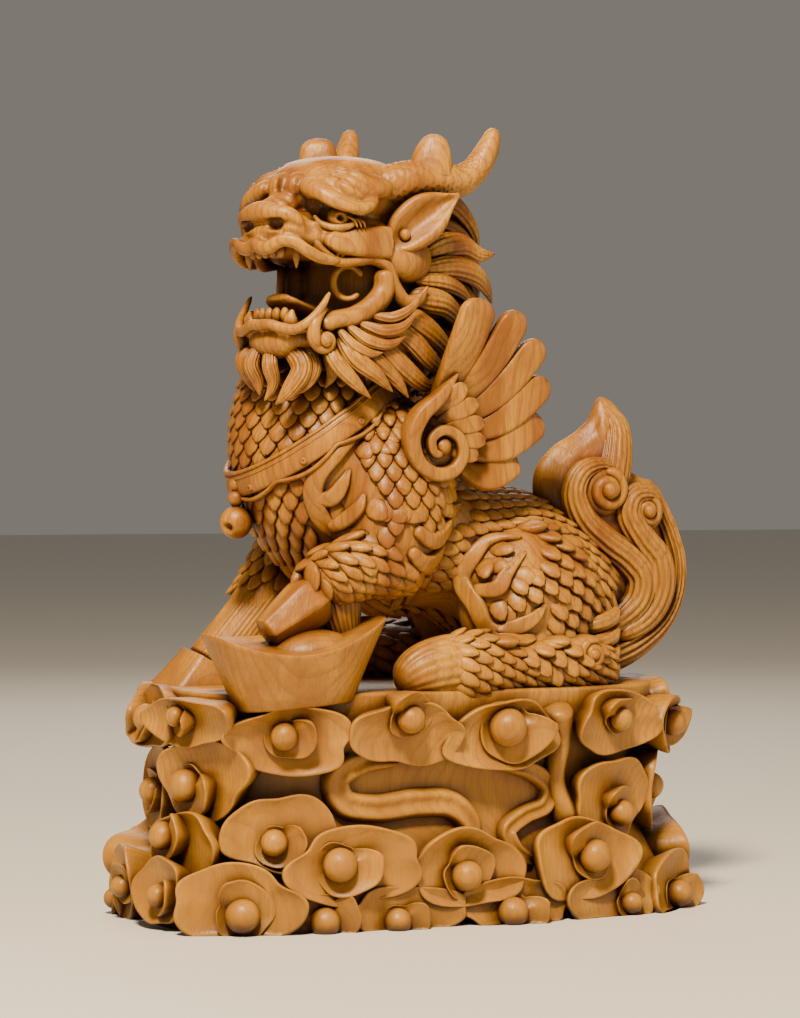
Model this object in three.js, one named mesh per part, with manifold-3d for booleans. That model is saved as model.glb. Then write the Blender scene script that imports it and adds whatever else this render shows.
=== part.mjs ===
// A boxwood carving of a winged, horned and scaled beast that sits on a stack of ruyi clouds with one
// fore hoof on a boat-shaped ingot. It is cut from one block, so it is one solid: every mass below
// is a closed surface, and the last step joins them.
// Millimetres, +Z up. The beast faces -X, its left flank faces -Y, and the underside is at Z = 0.

import * as THREE from "three";
import { mergeVertices } from "three/addons/utils/BufferGeometryUtils.js";
import Module from "manifold-3d";

const wasm = await Module();
wasm.setup();

// Driving dimensions of the cloud base
const baseHeight = 46; // underside to the top of the plateau
const plateauLength = 107;
const plateauDepth = 58;
const plateauShift = 1.5; // the plateau stands this far behind the middle of the foot
const waistLength = 93; // the recessed wall between the two belts of clouds
const waistDepth = 46;
const footLength = 120;
const footDepth = 66;
const plateauThickness = 9;
const footRise = 20; // height at which the splayed foot has drawn in to the waist
const cloudRelief = 5.5; // how far a cloud stands out of the wall behind it
const nearCloudSides = 6;
const hiddenCloudSides = 5;
const cloudUnit = baseHeight / 46; // the clouds and ribbons below are drawn on a base 46 units tall

// Driving dimensions of the ingot
const ingotLength = 37.5; // tip to tip
const ingotFootLength = 24;
const ingotDepth = 21;
const ingotFootDepth = 14;
const ingotRim = 8; // plateau to the lowest point of the rim
const ingotTip = 13.4; // plateau to the raised tips
const ingotDome = 5.5; // rise of the dome over the rim
const ingotTiltHeight = 1.3; // the right tip stands this much over the middle, and the left one as much under
const ingotX = -31.2;
const ingotY = -22;

// Driving dimensions of the beast. Its pose is drawn 114 units tall, and follows its height.
const beastHeight = 114;
const poseUnit = beastHeight / 114;
const seatSink = 1; // how deep the feet and the ingot run into the plateau, so that they are one wood

const headYaw = THREE.MathUtils.degToRad(25); // the head is turned to its left
const headCentre = new THREE.Vector3(-8, -2, 90); // above the plateau, in the pose

const boxwood = new THREE.MeshStandardMaterial({
  color: 0xc98b45,
  roughness: 0.48,
  metalness: 0,
});

const v3 = (p) => new THREE.Vector3(p[0], p[1], p[2]);
const mirrored = (p) => [p[0], -p[1], p[2]];

// Value of a list of sizes at t from 0 to 1, on a smooth curve through them
function sizeAt(sizes, t) {
  if (!Array.isArray(sizes)) return sizes;
  const curve = new THREE.SplineCurve(
    sizes.map((size, i) => new THREE.Vector2(i, size)),
  );
  return Math.max(curve.getPoint(t).y, 0.05);
}

// A round-ended bar bent along a path. width and depth are half sizes along it, depth lies towards up,
// and flutes cut that many grooves round the section, each as deep as the share fluteDepth.
function sweep(path, width, depth, options = {}) {
  const {
    up = [0, -1, 0],
    sides = 7,
    steps = 6,
    flutes = 0,
    fluteDepth = 0.12,
    blunt = 0,
  } = options;
  const curve = new THREE.CatmullRomCurve3(path.map(v3), false, "centripetal");
  const geometry = new THREE.SphereGeometry(1, sides, steps);
  const position = geometry.getAttribute("position");
  const upwards = v3(up);
  for (let i = 0; i < position.count; i++) {
    const x = position.getX(i);
    const y = position.getY(i);
    const z = position.getZ(i);
    const row = Math.round((Math.acos(THREE.MathUtils.clamp(y, -1, 1)) / Math.PI) * steps);
    const even = row / steps;
    const ended = blunt * (0.5 - 0.5 * Math.cos(Math.PI * even)) + (1 - blunt) * even;
    const t = THREE.MathUtils.clamp(ended, 0, 1);
    const turn = Math.atan2(z, x);
    const pole = row === 0 || row === steps;
    const grooved = 1 - fluteDepth * (flutes ? 0.5 - 0.5 * Math.cos(flutes * turn) : 0);
    const along = curve.getTangent(t);
    const across = new THREE.Vector3().crossVectors(along, upwards).normalize();
    const out = new THREE.Vector3().crossVectors(across, along).normalize();
    const point = curve.getPoint(t);
    if (!pole) {
      point.addScaledVector(across, Math.cos(turn) * sizeAt(width, t) * grooved);
      point.addScaledVector(out, Math.sin(turn) * sizeAt(depth, t) * grooved);
    }
    position.setXYZ(i, point.x, point.y, point.z);
  }
  return geometry;
}

// An ellipsoid
function blob(centre, radii, sides = 10, steps = 7) {
  return new THREE.SphereGeometry(1, sides, steps)
    .rotateX(Math.PI / 2)
    .scale(...radii)
    .translate(...centre);
}

const ball = (centre, radius, sides = 6, steps = 3) =>
  new THREE.SphereGeometry(radius, sides, steps).translate(...centre);

// Turns a geometry into a solid of the joining library, with its faces outward
function solidOf(geometry) {
  geometry.deleteAttribute("normal");
  geometry.deleteAttribute("uv");
  const merged = mergeVertices(geometry, 1e-4);
  const vertProperties = merged.getAttribute("position").array;
  const index = merged.index.array;
  const make = (triVerts) =>
    new wasm.Manifold(new wasm.Mesh({ numProp: 3, vertProperties, triVerts }));
  const solid = make(new Uint32Array(index));
  if (solid.volume() > 0) return solid;
  const turned = new Uint32Array(index);
  for (let i = 0; i < turned.length; i += 3) {
    turned[i] = index[i + 1];
    turned[i + 1] = index[i];
  }
  return make(turned);
}

// The plan of the base is a rounded oblong: its point at an angle, on half sizes a and b
const planPower = 3.4;
function planPoint(a, b, angle) {
  const c = Math.cos(angle);
  const s = Math.sin(angle);
  const r = Math.pow(
    Math.pow(Math.abs(c) / a, planPower) + Math.pow(Math.abs(s) / b, planPower),
    -1 / planPower,
  );
  return [r * c, r * s];
}

// Half sizes and middle of the base's wall at a height
function wallAt(z) {
  const foot = THREE.MathUtils.smoothstep(footRise - z, 0, footRise);
  const top = THREE.MathUtils.smoothstep(z, baseHeight - 2 * plateauThickness, baseHeight - plateauThickness);
  const half = (waist, splayed, plateau) =>
    (waist + (splayed - waist) * foot + (plateau - waist) * top) / 2;
  return [
    half(waistLength, footLength - 2 * cloudRelief, plateauLength - cloudRelief),
    half(waistDepth, footDepth - 2 * cloudRelief, plateauDepth - cloudRelief),
    plateauShift * top,
  ];
}

// The core of the base, under the clouds
function baseCore() {
  const rows = [0, footRise, baseHeight - plateauThickness, baseHeight];
  const sides = 20;
  const geometry = new THREE.CylinderGeometry(1, 1, 1, sides, rows.length - 1).rotateX(Math.PI / 2);
  const position = geometry.getAttribute("position");
  for (let i = 0; i < position.count; i++) {
    const row = Math.round((position.getZ(i) + 0.5) * (rows.length - 1));
    const z = rows[row];
    const x = position.getX(i);
    const y = position.getY(i);
    const [a, b, middle] = wallAt(z);
    const inset = row === rows.length - 1 ? 0.985 : 1;
    const [px, py] = Math.hypot(x, y) < 0.5 ? [0, 0] : planPoint(a, b, Math.atan2(y, x));
    position.setXYZ(i, px * inset + middle, py * inset, z);
  }
  return geometry;
}

// A cloud leaf: a dished fan with a wavy rim that faces out of the wall at an angle of the plan, and
// the pearl in its dish, all turned from one profile
function cloud({ angle, z, width, height, pearl, sides, hand }) {
  const [a, b, middle] = wallAt(z);
  const [x, y] = planPoint(a, b, angle);
  const ahead = planPoint(a, b, angle + 0.01);
  const front = new THREE.Vector3(ahead[1] - y, x - ahead[0], 0).normalize();
  const sideways = new THREE.Vector3(-front.y, front.x, 0);
  const dish = cloudRelief * 0.55;
  const profile = [
    [0, -cloudRelief * 2],
    [1, cloudRelief],
    [pearl, dish],
    [pearl * 0.9, dish + pearl * 0.7],
    [0, dish + pearl * 1.1],
  ];
  const leaf = new THREE.LatheGeometry(
    profile.map(([r, d]) => new THREE.Vector2(r, d)),
    sides,
  );
  const position = leaf.getAttribute("position");
  for (let i = 0; i < position.count; i++) {
    const turn = Math.atan2(position.getZ(i), position.getX(i));
    const r = Math.hypot(position.getX(i), position.getZ(i));
    const [, outward] = profile[i % profile.length];
    const onPearl = i % profile.length > 1;
    const wavy = 1 + 0.1 * Math.cos(3 * turn + hand);
    const across = onPearl ? r : (r * wavy * width) / 2;
    const upward = onPearl ? r : (r * wavy * height) / 2;
    const p = new THREE.Vector3(x + middle, y, z)
      .addScaledVector(sideways, across * Math.cos(turn))
      .addScaledVector(front, outward);
    p.z += upward * Math.sin(turn);
    position.setXYZ(i, p.x, p.y, THREE.MathUtils.clamp(p.z, 0, baseHeight + 0.4));
  }
  return leaf;
}

// Clouds of the near side, from the far left corner round to the right one: angle of the plan in
// degrees, then height, width and height of the leaf, and pearl
const nearClouds = [
  [195, 41, 26, 10, 2.2],
  [213, 38, 26, 14, 2.8],
  [245, 39, 24, 14, 2.8],
  [290, 37.5, 24, 15, 3.9],
  [326, 39.5, 22, 13, 2.5],
  [342, 38.5, 17, 13, 2.7],
  [196, 29.5, 23, 17, 3.3],
  [195, 15.5, 19, 15, 2.8],
  [212, 18.5, 23, 16, 2.8],
  [229, 12.5, 28, 16, 3.5],
  [274, 11.5, 26, 15, 3.2],
  [317, 12, 24, 18, 3.3],
  [329, 24, 20, 17, 2.7],
  [193, 6.5, 17, 15, 2.4],
  [208, 5.5, 26, 16, 3.4],
  [249, 3.5, 25, 12, 2.8],
  [294, 3.5, 24, 12, 3.1],
  [323, 3.5, 22, 13, 2.4],
  [337, 4, 18, 15, 2.8],
];

// Rows of clouds on the hidden sides: height, width and height of the leaf, pearl, angles of the plan
const hiddenRows = [
  [39.5, 30, 14, 2.9, [6, 30, 62, 118, 150, 176]],
  [25, 23, 18, 2.9, [-12, 168]],
  [9, 30, 17, 3.1, [-2, 26, 65, 115, 156]],
];

// The wavy water ribbons on the near wall: x and z of their middle line
const ribbons = [
  [[3, 14], [5, 19], [1, 23.2], [-14, 23], [-22, 24.5], [-22, 30], [-15, 33], [-8, 33]],
  [[13.5, 34], [19, 31], [20, 27], [14, 24], [11.5, 21], [14, 16]],
  [[23, 43], [24.5, 35], [24, 27], [27, 18]],
];

function cloudBase() {
  const parts = [baseCore()];
  const add = ([degrees, ...drawn], sides, i) => {
    const angle = THREE.MathUtils.degToRad(degrees);
    const [z, width, height, pearl] = drawn.map((units) => units * cloudUnit);
    const hand = i % 2 ? 1 : -1;
    parts.push(cloud({ angle, z, width, height, pearl, sides, hand }));
  };
  nearClouds.forEach((spec, i) => add(spec, nearCloudSides, i));
  for (const [z, width, height, pearl, turns] of hiddenRows) {
    turns.forEach((degrees, i) => add([degrees, z, width, height, pearl], hiddenCloudSides, i));
  }
  const wallY = -waistDepth / 2;
  for (const ribbon of ribbons) {
    const path = ribbon.map(([x, z]) => [x * cloudUnit, wallY, z * cloudUnit]);
    const halfWidths = [1.2, 2, 2.2, 2, 1.2].map((units) => units * cloudUnit);
    parts.push(sweep(path, halfWidths, 2.6 * cloudUnit, { sides: 4, steps: ribbon.length }));
  }
  return parts;
}

// The ingot: a boat with raised tips and a dome that the hoof rests on
function ingot() {
  const sides = 14;
  const hull = new THREE.CylinderGeometry(1, 1, 1, sides, 1).rotateX(Math.PI / 2);
  const position = hull.getAttribute("position");
  for (let i = 0; i < position.count; i++) {
    const x = position.getX(i);
    const y = position.getY(i);
    const upper = position.getZ(i) > 0;
    const rimZ = ingotRim + (ingotTip - ingotRim) * x * x + ingotTiltHeight * x;
    const length = upper ? ingotLength : ingotFootLength;
    const depth = upper ? ingotDepth : ingotFootDepth;
    position.setXYZ(
      i,
      (x * length) / 2,
      (y * depth) / 2,
      upper ? (Math.hypot(x, y) < 0.1 ? ingotRim - 1.5 : rimZ) : -seatSink,
    );
  }
  const dome = blob([0, 0, ingotRim - 2], [10, 6.5, ingotDome + 2], 8, 5);
  return [hull, dome].map((g) => g.translate(ingotX, ingotY, 0));
}

// Chest, barrel and rump, on one line from the neck to the root of the tail. Sizes are half widths
// across the line, first in the plane of symmetry and then sideways.
const trunkLine = [
  [-9, 0, 68], [-15, 0, 56], [-14, 0, 43], [-3, 0, 32], [10, 0, 27.5], [23, 0, 22], [34, 0, 14], [40, 0, 6],
];
const trunkInPlane = [13, 19, 20, 17.5, 14.5, 16.5, 15, 9];
const trunkSideways = [11, 16.5, 18.5, 17, 15.5, 16.5, 15, 9];

function torso() {
  const neck = [[-1, -1, 90], [-7, -1, 76], [-11, 0, 62]];
  return [
    sweep(trunkLine, trunkInPlane, trunkSideways, { sides: 10, steps: 9 }),
    sweep(neck, [15, 15, 16], [13, 14, 16], { sides: 8, steps: 3 }),
  ];
}

// A hoof: a faceted cone from the fetlock to its flat sole, split by a cleft at the front
function hoof(top, sole, topRadius, soleRadius) {
  const axis = v3(sole).sub(v3(top));
  const g = new THREE.CylinderGeometry(soleRadius, topRadius, axis.length(), 8, 1);
  g.applyQuaternion(
    new THREE.Quaternion().setFromUnitVectors(new THREE.Vector3(0, 1, 0), axis.clone().normalize()),
  );
  return g.translate(...v3(top).addScaledVector(axis, 0.5).toArray());
}

function forelegs() {
  const shoulder = [[-5, -8, 56], [-7, -12.5, 44], [-8, -16.5, 30], [-8, -17, 22]];
  const forearm = [[-4, -16, 27], [-13, -18, 25], [-21, -19, 23], [-26, -20, 19]];
  const fetlock = [[-19, -18, 22], [-18, -18, 15], [-18, -18, 8]];
  const straightLeg = [[-5, 8, 56], [-9, 12.5, 42], [-20, 13.5, 26], [-31, 13, 13]];
  return [
    sweep(shoulder, [10, 12.5, 10, 7], [9, 10, 8, 6], { sides: 8, steps: 5 }),
    sweep(forearm, [7.5, 6.5, 6.2, 5.2], [7, 6.2, 6, 5], { sides: 8, steps: 5 }),
    sweep(fetlock, [4.5, 4, 3.5], [5, 4, 3.4], { sides: 8, steps: 3, flutes: 4, fluteDepth: 0.2 }),
    hoof([-25, -19.5, 18.8], [-36.6, -20.8, 11.4], 5.6, 4.2),
    sweep(straightLeg, [10, 11.5, 7.5, 6], [9, 10, 7, 6], { sides: 8, steps: 5 }),
    hoof([-31.5, 13, 13], [-39.5, 13.5, -seatSink], 6.2, 9.4),
  ];
}

const haunchCentre = [22.5, 13, 17.5];
const haunchRadii = [15, 9.8, 15.5];

function hindlegs() {
  const parts = [];
  for (const side of [-1, 1]) {
    const s = ([x, y, z]) => [x, y * side, z];
    const foot = [[38, 18, 3], [30, 19.5, 4.5], [16, 20.5, 4.5], [4, 21.5, 4], [-9, 22.5, 0]].map(s);
    parts.push(blob(s(haunchCentre), haunchRadii, 10, 6));
    parts.push(sweep(foot, [4, 5.6, 5.6, 6.8, 2.6], [4, 5.4, 5.2, 6, 2.4], { sides: 6, steps: 6 }));
    // the locks of hair at the hock
    for (let i = 0; i < 2; i++) {
      const z = 11 - 5 * i;
      const lock = [[33, 17, z - 3], [36.5, 18, z - 1], [41, 18, z + 1]].map(s);
      parts.push(sweep(lock, [2.6, 2.4, 0.8], [2.4, 2.2, 0.8], { sides: 4, steps: 3 }));
    }
    parts.push(ball(s([32.5, 24.2, 6.5]), 2.6));
  }
  return parts;
}

// Raised flames: on the shoulders and flanks as points, on the haunches as x and z of its surface
const bodyFlames = [
  [[-16.5, -17.5, 50], [-24.6, -16.2, 41], [-22, -18.6, 33.5], [-15.4, -21.4, 31.2]],
  [[-24, -16.2, 38], [-20.6, -18.6, 39], [-18, -19.6, 43.5]],
  [[-5, -19, 31], [-1, -17.5, 29], [4, -16.5, 33], [7, -16, 37]],
];
const haunchFlames = [
  [[18, 30], [10, 27], [7.6, 21], [10.4, 14], [17, 10]],
  [[9.6, 20.4], [14, 23], [18.5, 27.6]],
];

function flameOrnaments() {
  const parts = [];
  const [cx, cy, cz] = haunchCentre;
  const [rx, ry, rz] = haunchRadii;
  const onHaunch = ([x, z]) => {
    const square = 1 - ((x - cx) / rx) ** 2 - ((z - cz) / rz) ** 2;
    return [x, -cy - ry * Math.sqrt(Math.max(square, 0)), z];
  };
  const flames = [...bodyFlames, ...haunchFlames.map((flame) => flame.map(onHaunch))];
  for (const flame of flames) {
    for (const path of [flame, flame.map(mirrored)]) {
      const up = [0, Math.sign(path[0][1]), 0];
      parts.push(sweep(path, [0.8, 1.9, 2.1, 1], 1.7, { up, sides: 4, steps: 3 }));
    }
  }
  return parts;
}

// The fins along the spine
function spineFins() {
  const parts = [];
  const fins = 5;
  for (let i = 0; i < fins; i++) {
    const t = i / (fins - 1);
    const x = 6 + 30 * t;
    const z = 43 - 12 * t - 6 * t * t;
    const fin = [[x - 2, 0, z - 4], [x, 0, z + 0.5], [x + 3.5, 0, z + 2.6]];
    parts.push(sweep(fin, [3, 2.8, 1], [1.8, 1.5, 0.8], { sides: 4, steps: 3 }));
  }
  return parts;
}

// Collar with its beads and the bell. It rings the trunk and tips forward.
const collarMiddle = { x: -12, z: 57 };
const collarForward = 23;
const collarSideways = 18.2;
const collarDrop = 0.72; // fall towards the chest for each millimetre in front of its middle

function collar() {
  const band = [];
  const stops = 12;
  for (let i = 0; i <= stops; i++) {
    const turn = THREE.MathUtils.degToRad(THREE.MathUtils.lerp(-118, 118, i / stops));
    const ahead = collarForward * Math.cos(turn);
    band.push([collarMiddle.x - ahead, collarSideways * Math.sin(turn), collarMiddle.z - collarDrop * ahead]);
  }
  const front = band[stops / 2];
  const hang = (drop, radius) => ball([front[0] + 0.5, front[1] - 1, front[2] - drop], radius);
  return [
    sweep(band, 3, 2, { up: [0, 0, 1], sides: 4, steps: 12 }),
    hang(2.6, 2.5),
    hang(6.6, 3.8),
  ];
}

// Wings. The feathers fan from one root, and small coverts and a scroll cover it.
const featherTips = [
  [8.6, 77.5], [15.6, 75.5], [20.4, 70], [22.8, 62.5], [21.8, 54.5], [16.3, 46.5],
];
const featherWidths = [4.3, 4.1, 4, 3.9, 3.7, 3.4];
const covertTips = [[6, 60.5], [9, 54.5], [9, 48.5]];

function wings() {
  const leadingEdge = [
    [3.4, 22.6, 63], [-2.4, 22.8, 57], [-6.8, 22.6, 51],
    [-5.4, 22.2, 44.6], [0.5, 22.2, 42.8], [4, 22.6, 47.4],
  ];
  const parts = [];
  for (const side of [-1, 1]) {
    const s = ([x, y, z]) => [x, y * side, z];
    const up = [0, side, 0];
    featherTips.forEach(([x, z], i) => {
      const root = [0.8 * i, 14, 53 - 1.6 * i];
      const middle = [(root[0] + x) / 2 - 1.2, 20.5 - i * 0.25, (root[2] + z) / 2 - (i - 2) * 0.5];
      const tip = [x, 24.5 - 0.4 * i, z];
      const w = featherWidths[i];
      const halfWidths = [1.5, w * 0.9, w, w * 0.6];
      const shape = { up, sides: 4, steps: 3, blunt: 0.6 };
      parts.push(sweep([root, middle, tip].map(s), halfWidths, [2.4, 1.8, 1.7, 1], shape));
    });
    covertTips.forEach(([x, z], i) => {
      const root = [-0.5, 18, 51 - 0.8 * i];
      const path = [root, [(root[0] + x) / 2, 22.5, (root[2] + z) / 2], [x, 23, z]];
      parts.push(sweep(path.map(s), [1.4, 2.4, 1.3], [1.8, 1.7, 1], { up, sides: 4, steps: 3 }));
    });
    // leading edge, and the scroll that it winds into
    const halfWidths = [0.8, 1.9, 2.2, 2, 1.8, 1.4];
    const halfDepths = [2.4, 3.2, 3.6, 3.2, 2.2];
    parts.push(sweep(leadingEdge.map(s), halfWidths, halfDepths, { up, sides: 4, steps: 8 }));
    parts.push(ball(s([-0.4, 22.8, 48.2]), 3.4));
    parts.push(blob(s([0, 16, 50]), [7, 6, 8], 6, 3));
  }
  return parts;
}

// Outline of the tail's flame in x and z, from its root up the back to the tip and down the outside
const tailOutline = [
  [38, 8], [34, 22], [30.2, 40], [34.7, 48.7], [42, 54], [45.6, 60], [50.6, 55], [51.4, 47], [54.4, 42.6],
  [57.6, 41.4], [60.6, 32], [61, 20], [55, 9], [46, 4.5],
];
const tailThickness = 11;
// The fluted strands of one face of the tail: x, share of the half thickness, z
const tailStrands = [
  [[42, 0.9, 10], [51.6, 1, 17], [52, 1, 22], [43.5, 1, 29], [37, 1, 37], [39, 1, 43.6], [45, 1, 44.2]],
  [[46.2, 0.9, 9], [56, 1, 17], [55.7, 1, 25], [49.6, 1, 32.4], [50.4, 1, 38], [56, 0.9, 37.4]],
];
const tailCurls = [[43.4, 1.3, 39.4, 3.8], [53.2, 1.1, 35, 2.8]];

function tail() {
  const rim = new THREE.CatmullRomCurve3(
    tailOutline.map(([x, z]) => new THREE.Vector3(x, z, 0)),
    true,
    "centripetal",
  );
  const points = rim.getPoints(16).slice(0, -1);
  const bevel = 3;
  const leaf = new THREE.ExtrudeGeometry(new THREE.Shape(points.map((p) => new THREE.Vector2(p.x, p.y))), {
    depth: tailThickness - 2 * bevel,
    bevelThickness: bevel,
    bevelSize: bevel * 0.8,
    bevelOffset: -bevel * 0.8,
    bevelSegments: 1,
  });
  leaf.rotateX(Math.PI / 2).translate(0, tailThickness / 2 - bevel, 0);
  // the thick outer strand, from the rump out and up to the far curl
  const outer = [
    [37, 0, 4.5], [46, 0, 5.2], [54, 0, 8.8], [60, 0, 16], [61.4, 0, 25], [59, 0, 33], [56, 0, 40],
  ];
  const parts = [
    leaf,
    sweep(outer, [4.5, 4.8, 4.2, 3.6, 3.4, 3.1, 2.2], [7, 7.4, 7, 6.4, 5.8, 5, 3.4], {
      sides: 8,
      steps: 8,
      flutes: 4,
      fluteDepth: 0.15,
    }),
  ];
  for (const side of [-1, 1]) {
    const up = [0, side, 0];
    const y = (side * tailThickness) / 2;
    for (const strand of tailStrands) {
      const path = strand.map(([x, share, z]) => [x, y * share, z]);
      const shape = { up, sides: 4, steps: path.length - 1 };
      parts.push(sweep(path, [2.2, 2.8, 2.8, 1.4], [2.4, 2.8, 2.6, 1.5], shape));
    }
    for (const [x, share, z, radius] of tailCurls) parts.push(ball([x, y * share, z], radius));
  }
  return parts;
}

const farHornLift = 2.4; // the far horn stands a little higher

// Head, in its own frame: x forward to the nose, y to its left, z up
function skull() {
  const nose = [[28, -6.9, 1.4], [29.6, -4, 3.5], [30.2, 0, 4.2], [29.4, 4, 3.6], [26.6, 7.6, 1.4]];
  const tongue = [[10, 0, -15.6], [20, 0, -15], [27, 0, -12.4]];
  const parts = [
    blob([0, 0, 3], [15.5, 14.5, 13], 8, 4),
    blob([9.4, 0, 8], [14.4, 13.8, 8.8], 8, 4), // forehead
    blob([15.5, 0, 0], [16.6, 11.8, 5.8], 8, 4), // upper jaw
    blob([16.6, 0, -19.8], [15.6, 11.4, 4.9], 8, 4), // lower jaw
    blob([4, 0, -10.5], [9.8, 12, 12.8], 6, 4), // throat
    sweep(nose, [1.6, 2.6, 3, 2.6, 1.6], 2.2, { up: [1, 0, 0.2], sides: 5, steps: 4 }),
    sweep(tongue, [4.8, 5, 2.2], [1.8, 1.5, 0.8], { up: [0, 0, 1], sides: 4, steps: 3 }),
  ];
  const brow = [[21.3, 2.4, 8.9], [22.8, 7.4, 8.8], [21.2, 12, 6.4], [16.6, 15.8, 5.4], [13.2, 16.6, 7.6]];
  const upperLip = [
    [32.2, 0, -2.4], [31.2, 3.8, -2.8], [29.6, 8, -1.9], [25, 10.6, -5], [16, 12.6, -5.2],
    [9.2, 14.2, -6.2], [7.4, 14.8, -10.2], [5, 15.8, -13], [2, 18.6, -9.8],
  ];
  const lowerLip = [
    [30.8, 0, -18], [29.4, 5, -18.7], [26.6, 9.8, -17.4], [24.2, 10.9, -14.6], [21.8, 11.1, -11],
  ];
  const hinge = [
    [23.6, 9.4, -18.6], [16, 11.8, -16.4], [11.6, 13, -13.6], [9.4, 13.6, -9.6], [9.6, 13.6, -3],
  ];
  const strap = [[23, 9.6, -1.2], [14, 12.8, -1.5], [8, 14.4, -1.5]];
  const browBed = [[20.6, 5, 11.2], [15, 12.6, 9.8], [8.5, 14.8, 9.2]];
  const lowerFang = [[27.4, 5.4, -19], [27.7, 5.7, -16.6], [27.6, 6, -14]];
  const upperFang = [[26.2, 6, 0], [27, 6.6, -4.4], [26.8, 6.4, -7.2]];
  const horn = [
    [8.5, 8.5, 12], [1, 14.2, 12], [-7.5, 17.5, 11.6],
    [-11.2, 18.6, 13.8], [-14.4, 19.6, 18], [-16.2, 20.2, 23.2],
  ];
  const tine = [[-1.6, 15.6, 12], [-2, 16.2, 16.5], [-2.6, 16.8, 21]];
  const ear = [[8, 14.4, -2.4], [5.6, 16.6, 1], [1.6, 19.2, 4.8], [-3.8, 22.4, 8.8]];
  for (const side of [1, -1]) {
    const m = (p) => [p[0], p[1] * side, p[2]];
    const lift = side < 0 ? farHornLift : 0;
    const raised = (path) => path.map(([x, y, z], i) => [x, y, z + (lift * i) / (path.length - 1)]);
    const add = (path, halfWidths, halfDepths, up, sides) => {
      const steps = THREE.MathUtils.clamp(path.length - 1, 3, 6);
      parts.push(sweep(path.map(m), halfWidths, halfDepths, { up: m(up), sides, steps }));
    };
    add(browBed, [3.2, 4, 2.8], [2.2, 2.8, 2.2], [0.3, 0.6, 1], 5);
    add(brow, [2, 2.9, 2.7, 1.9, 1], [2, 2.8, 2.5, 1.9, 1], [0, 0, 1], 4);
    add(strap, [2.4, 3.2, 3.3], 2.5, [0, -1, 0], 4);
    add(upperLip, [1.9, 1.9, 1.9, 1.7, 1.7, 1.7, 1.7, 1.7, 0.8], 1.8, [0, 0, 1], 4);
    add(lowerLip, [1.6, 1.6, 1.4, 1.1, 0.7], 1.4, [0, 0, 1], 4);
    add(hinge, [2.6, 3, 3.1, 2.9, 2.8], 2.6, [0, -1, 0], 4);
    add(lowerFang, [1.7, 1.4, 0.5], [1.1, 1, 0.5], [1, 0, 0], 4);
    add(upperFang, [1.3, 1, 0.4], [1.2, 1, 0.4], [1, 0, 0], 4);
    add(raised(horn), [4.2, 4.4, 3.6, 3.2, 2.8, 1.6], [4.4, 4.4, 3.6, 3.1, 2.6, 1.5], [0, 0, 1], 5);
    add(raised(tine), [4.6, 4, 2.2], [3.2, 2.6, 1.6], [0.7, 0.7, 0.3], 5);
    add(ear, [3, 5, 4.6, 0.8], [2.4, 2.6, 2.2, 0.8], [0.85, 0.6, -0.25], 5);
    parts.push(
      blob(m([19.4, 10.6, 3.2]), [2.6, 2.6, 2.6], 5, 3), // eye
      blob(m([3.5, 14.5, -4.5]), [6, 3.6, 5], 5, 3), // lobe below the ear
      ball(m([23.6, 10.6, -21]), 3.5), // curl beside the chin
    );
  }
  return parts;
}

// Locks of the mane beside the head: root, middle, tip and half width, in the head's frame
const sideLocks = [
  [[-3, 10.5, 3], [-11.9, 15, -1], [-21.8, 16, -2], 4.4],
  [[2.5, 13, -6.4], [-8.3, 15.6, -6], [-22.6, 14, -12.8], 4],
  [[4.6, 8, -10.6], [-4, 16, -12.4], [-15, 15.6, -17.6], 4.2],
  [[8, 6.6, -14.6], [3, 15.6, -19.4], [-6.4, 17, -25], 4.2],
  [[15, 9, -19], [9, 16.2, -26], [0.2, 18.4, -30.6], 4],
  [[20, 8.6, -20], [18, 14, -26.4], [9.8, 17.8, -32.8], 3.8],
  [[-6, 8, 9], [-17, 11, 0], [-24, 9.4, -10], 5.6],
  [[-6, 9, -8], [-17, 11, -16], [-24, 9, -28], 5.6],
];
const middleLocks = [
  [[-6, 0, 14], [-18, 0.3, 7], [-27, 0.4, -6], 5.5],
  [[-6, 0, -3], [-19, 0, -12], [-27, 0.4, -28], 6],
];

function mane() {
  const parts = [];
  const lock = ([root, middle, tip, width], side) => {
    const m = ([x, y, z]) => [x, y * side, z];
    const outward = [middle[0] * 0.7, middle[1], middle[2] + 8];
    const halfWidths = [width * 0.7, width, width * 0.9, width * 0.25];
    const shape = { up: m(outward), sides: 6, steps: 3, flutes: 3, fluteDepth: 0.22 };
    parts.push(sweep([root, middle, tip].map(m), halfWidths, [2.6, 3, 2.2, 0.8], shape));
  };
  for (const spec of sideLocks) {
    lock(spec, 1);
    lock(spec, -1);
  }
  for (const spec of middleLocks) lock(spec, 1);
  // the beard: a middle lock and two beside it
  for (const y of [-6, 0, 6]) {
    const away = Math.abs(y);
    const path = [
      [26 - away * 0.2, y, -20],
      [28 - away * 0.4, y * 1.1, -26],
      [27 - away * 0.3, y * 0.8, -33.6],
    ];
    parts.push(sweep(path, [3.2, 3, 0.8], [2.6, 2.2, 0.8], { up: [1, 0, 0], sides: 5, steps: 3 }));
  }
  return parts;
}

// The outer skin alone: the wood is solid where the masses close over a small hollow
function keepOutside(solid) {
  return solid.decompose().reduce((kept, piece) => (piece.volume() > kept.volume() ? piece : kept));
}

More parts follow.
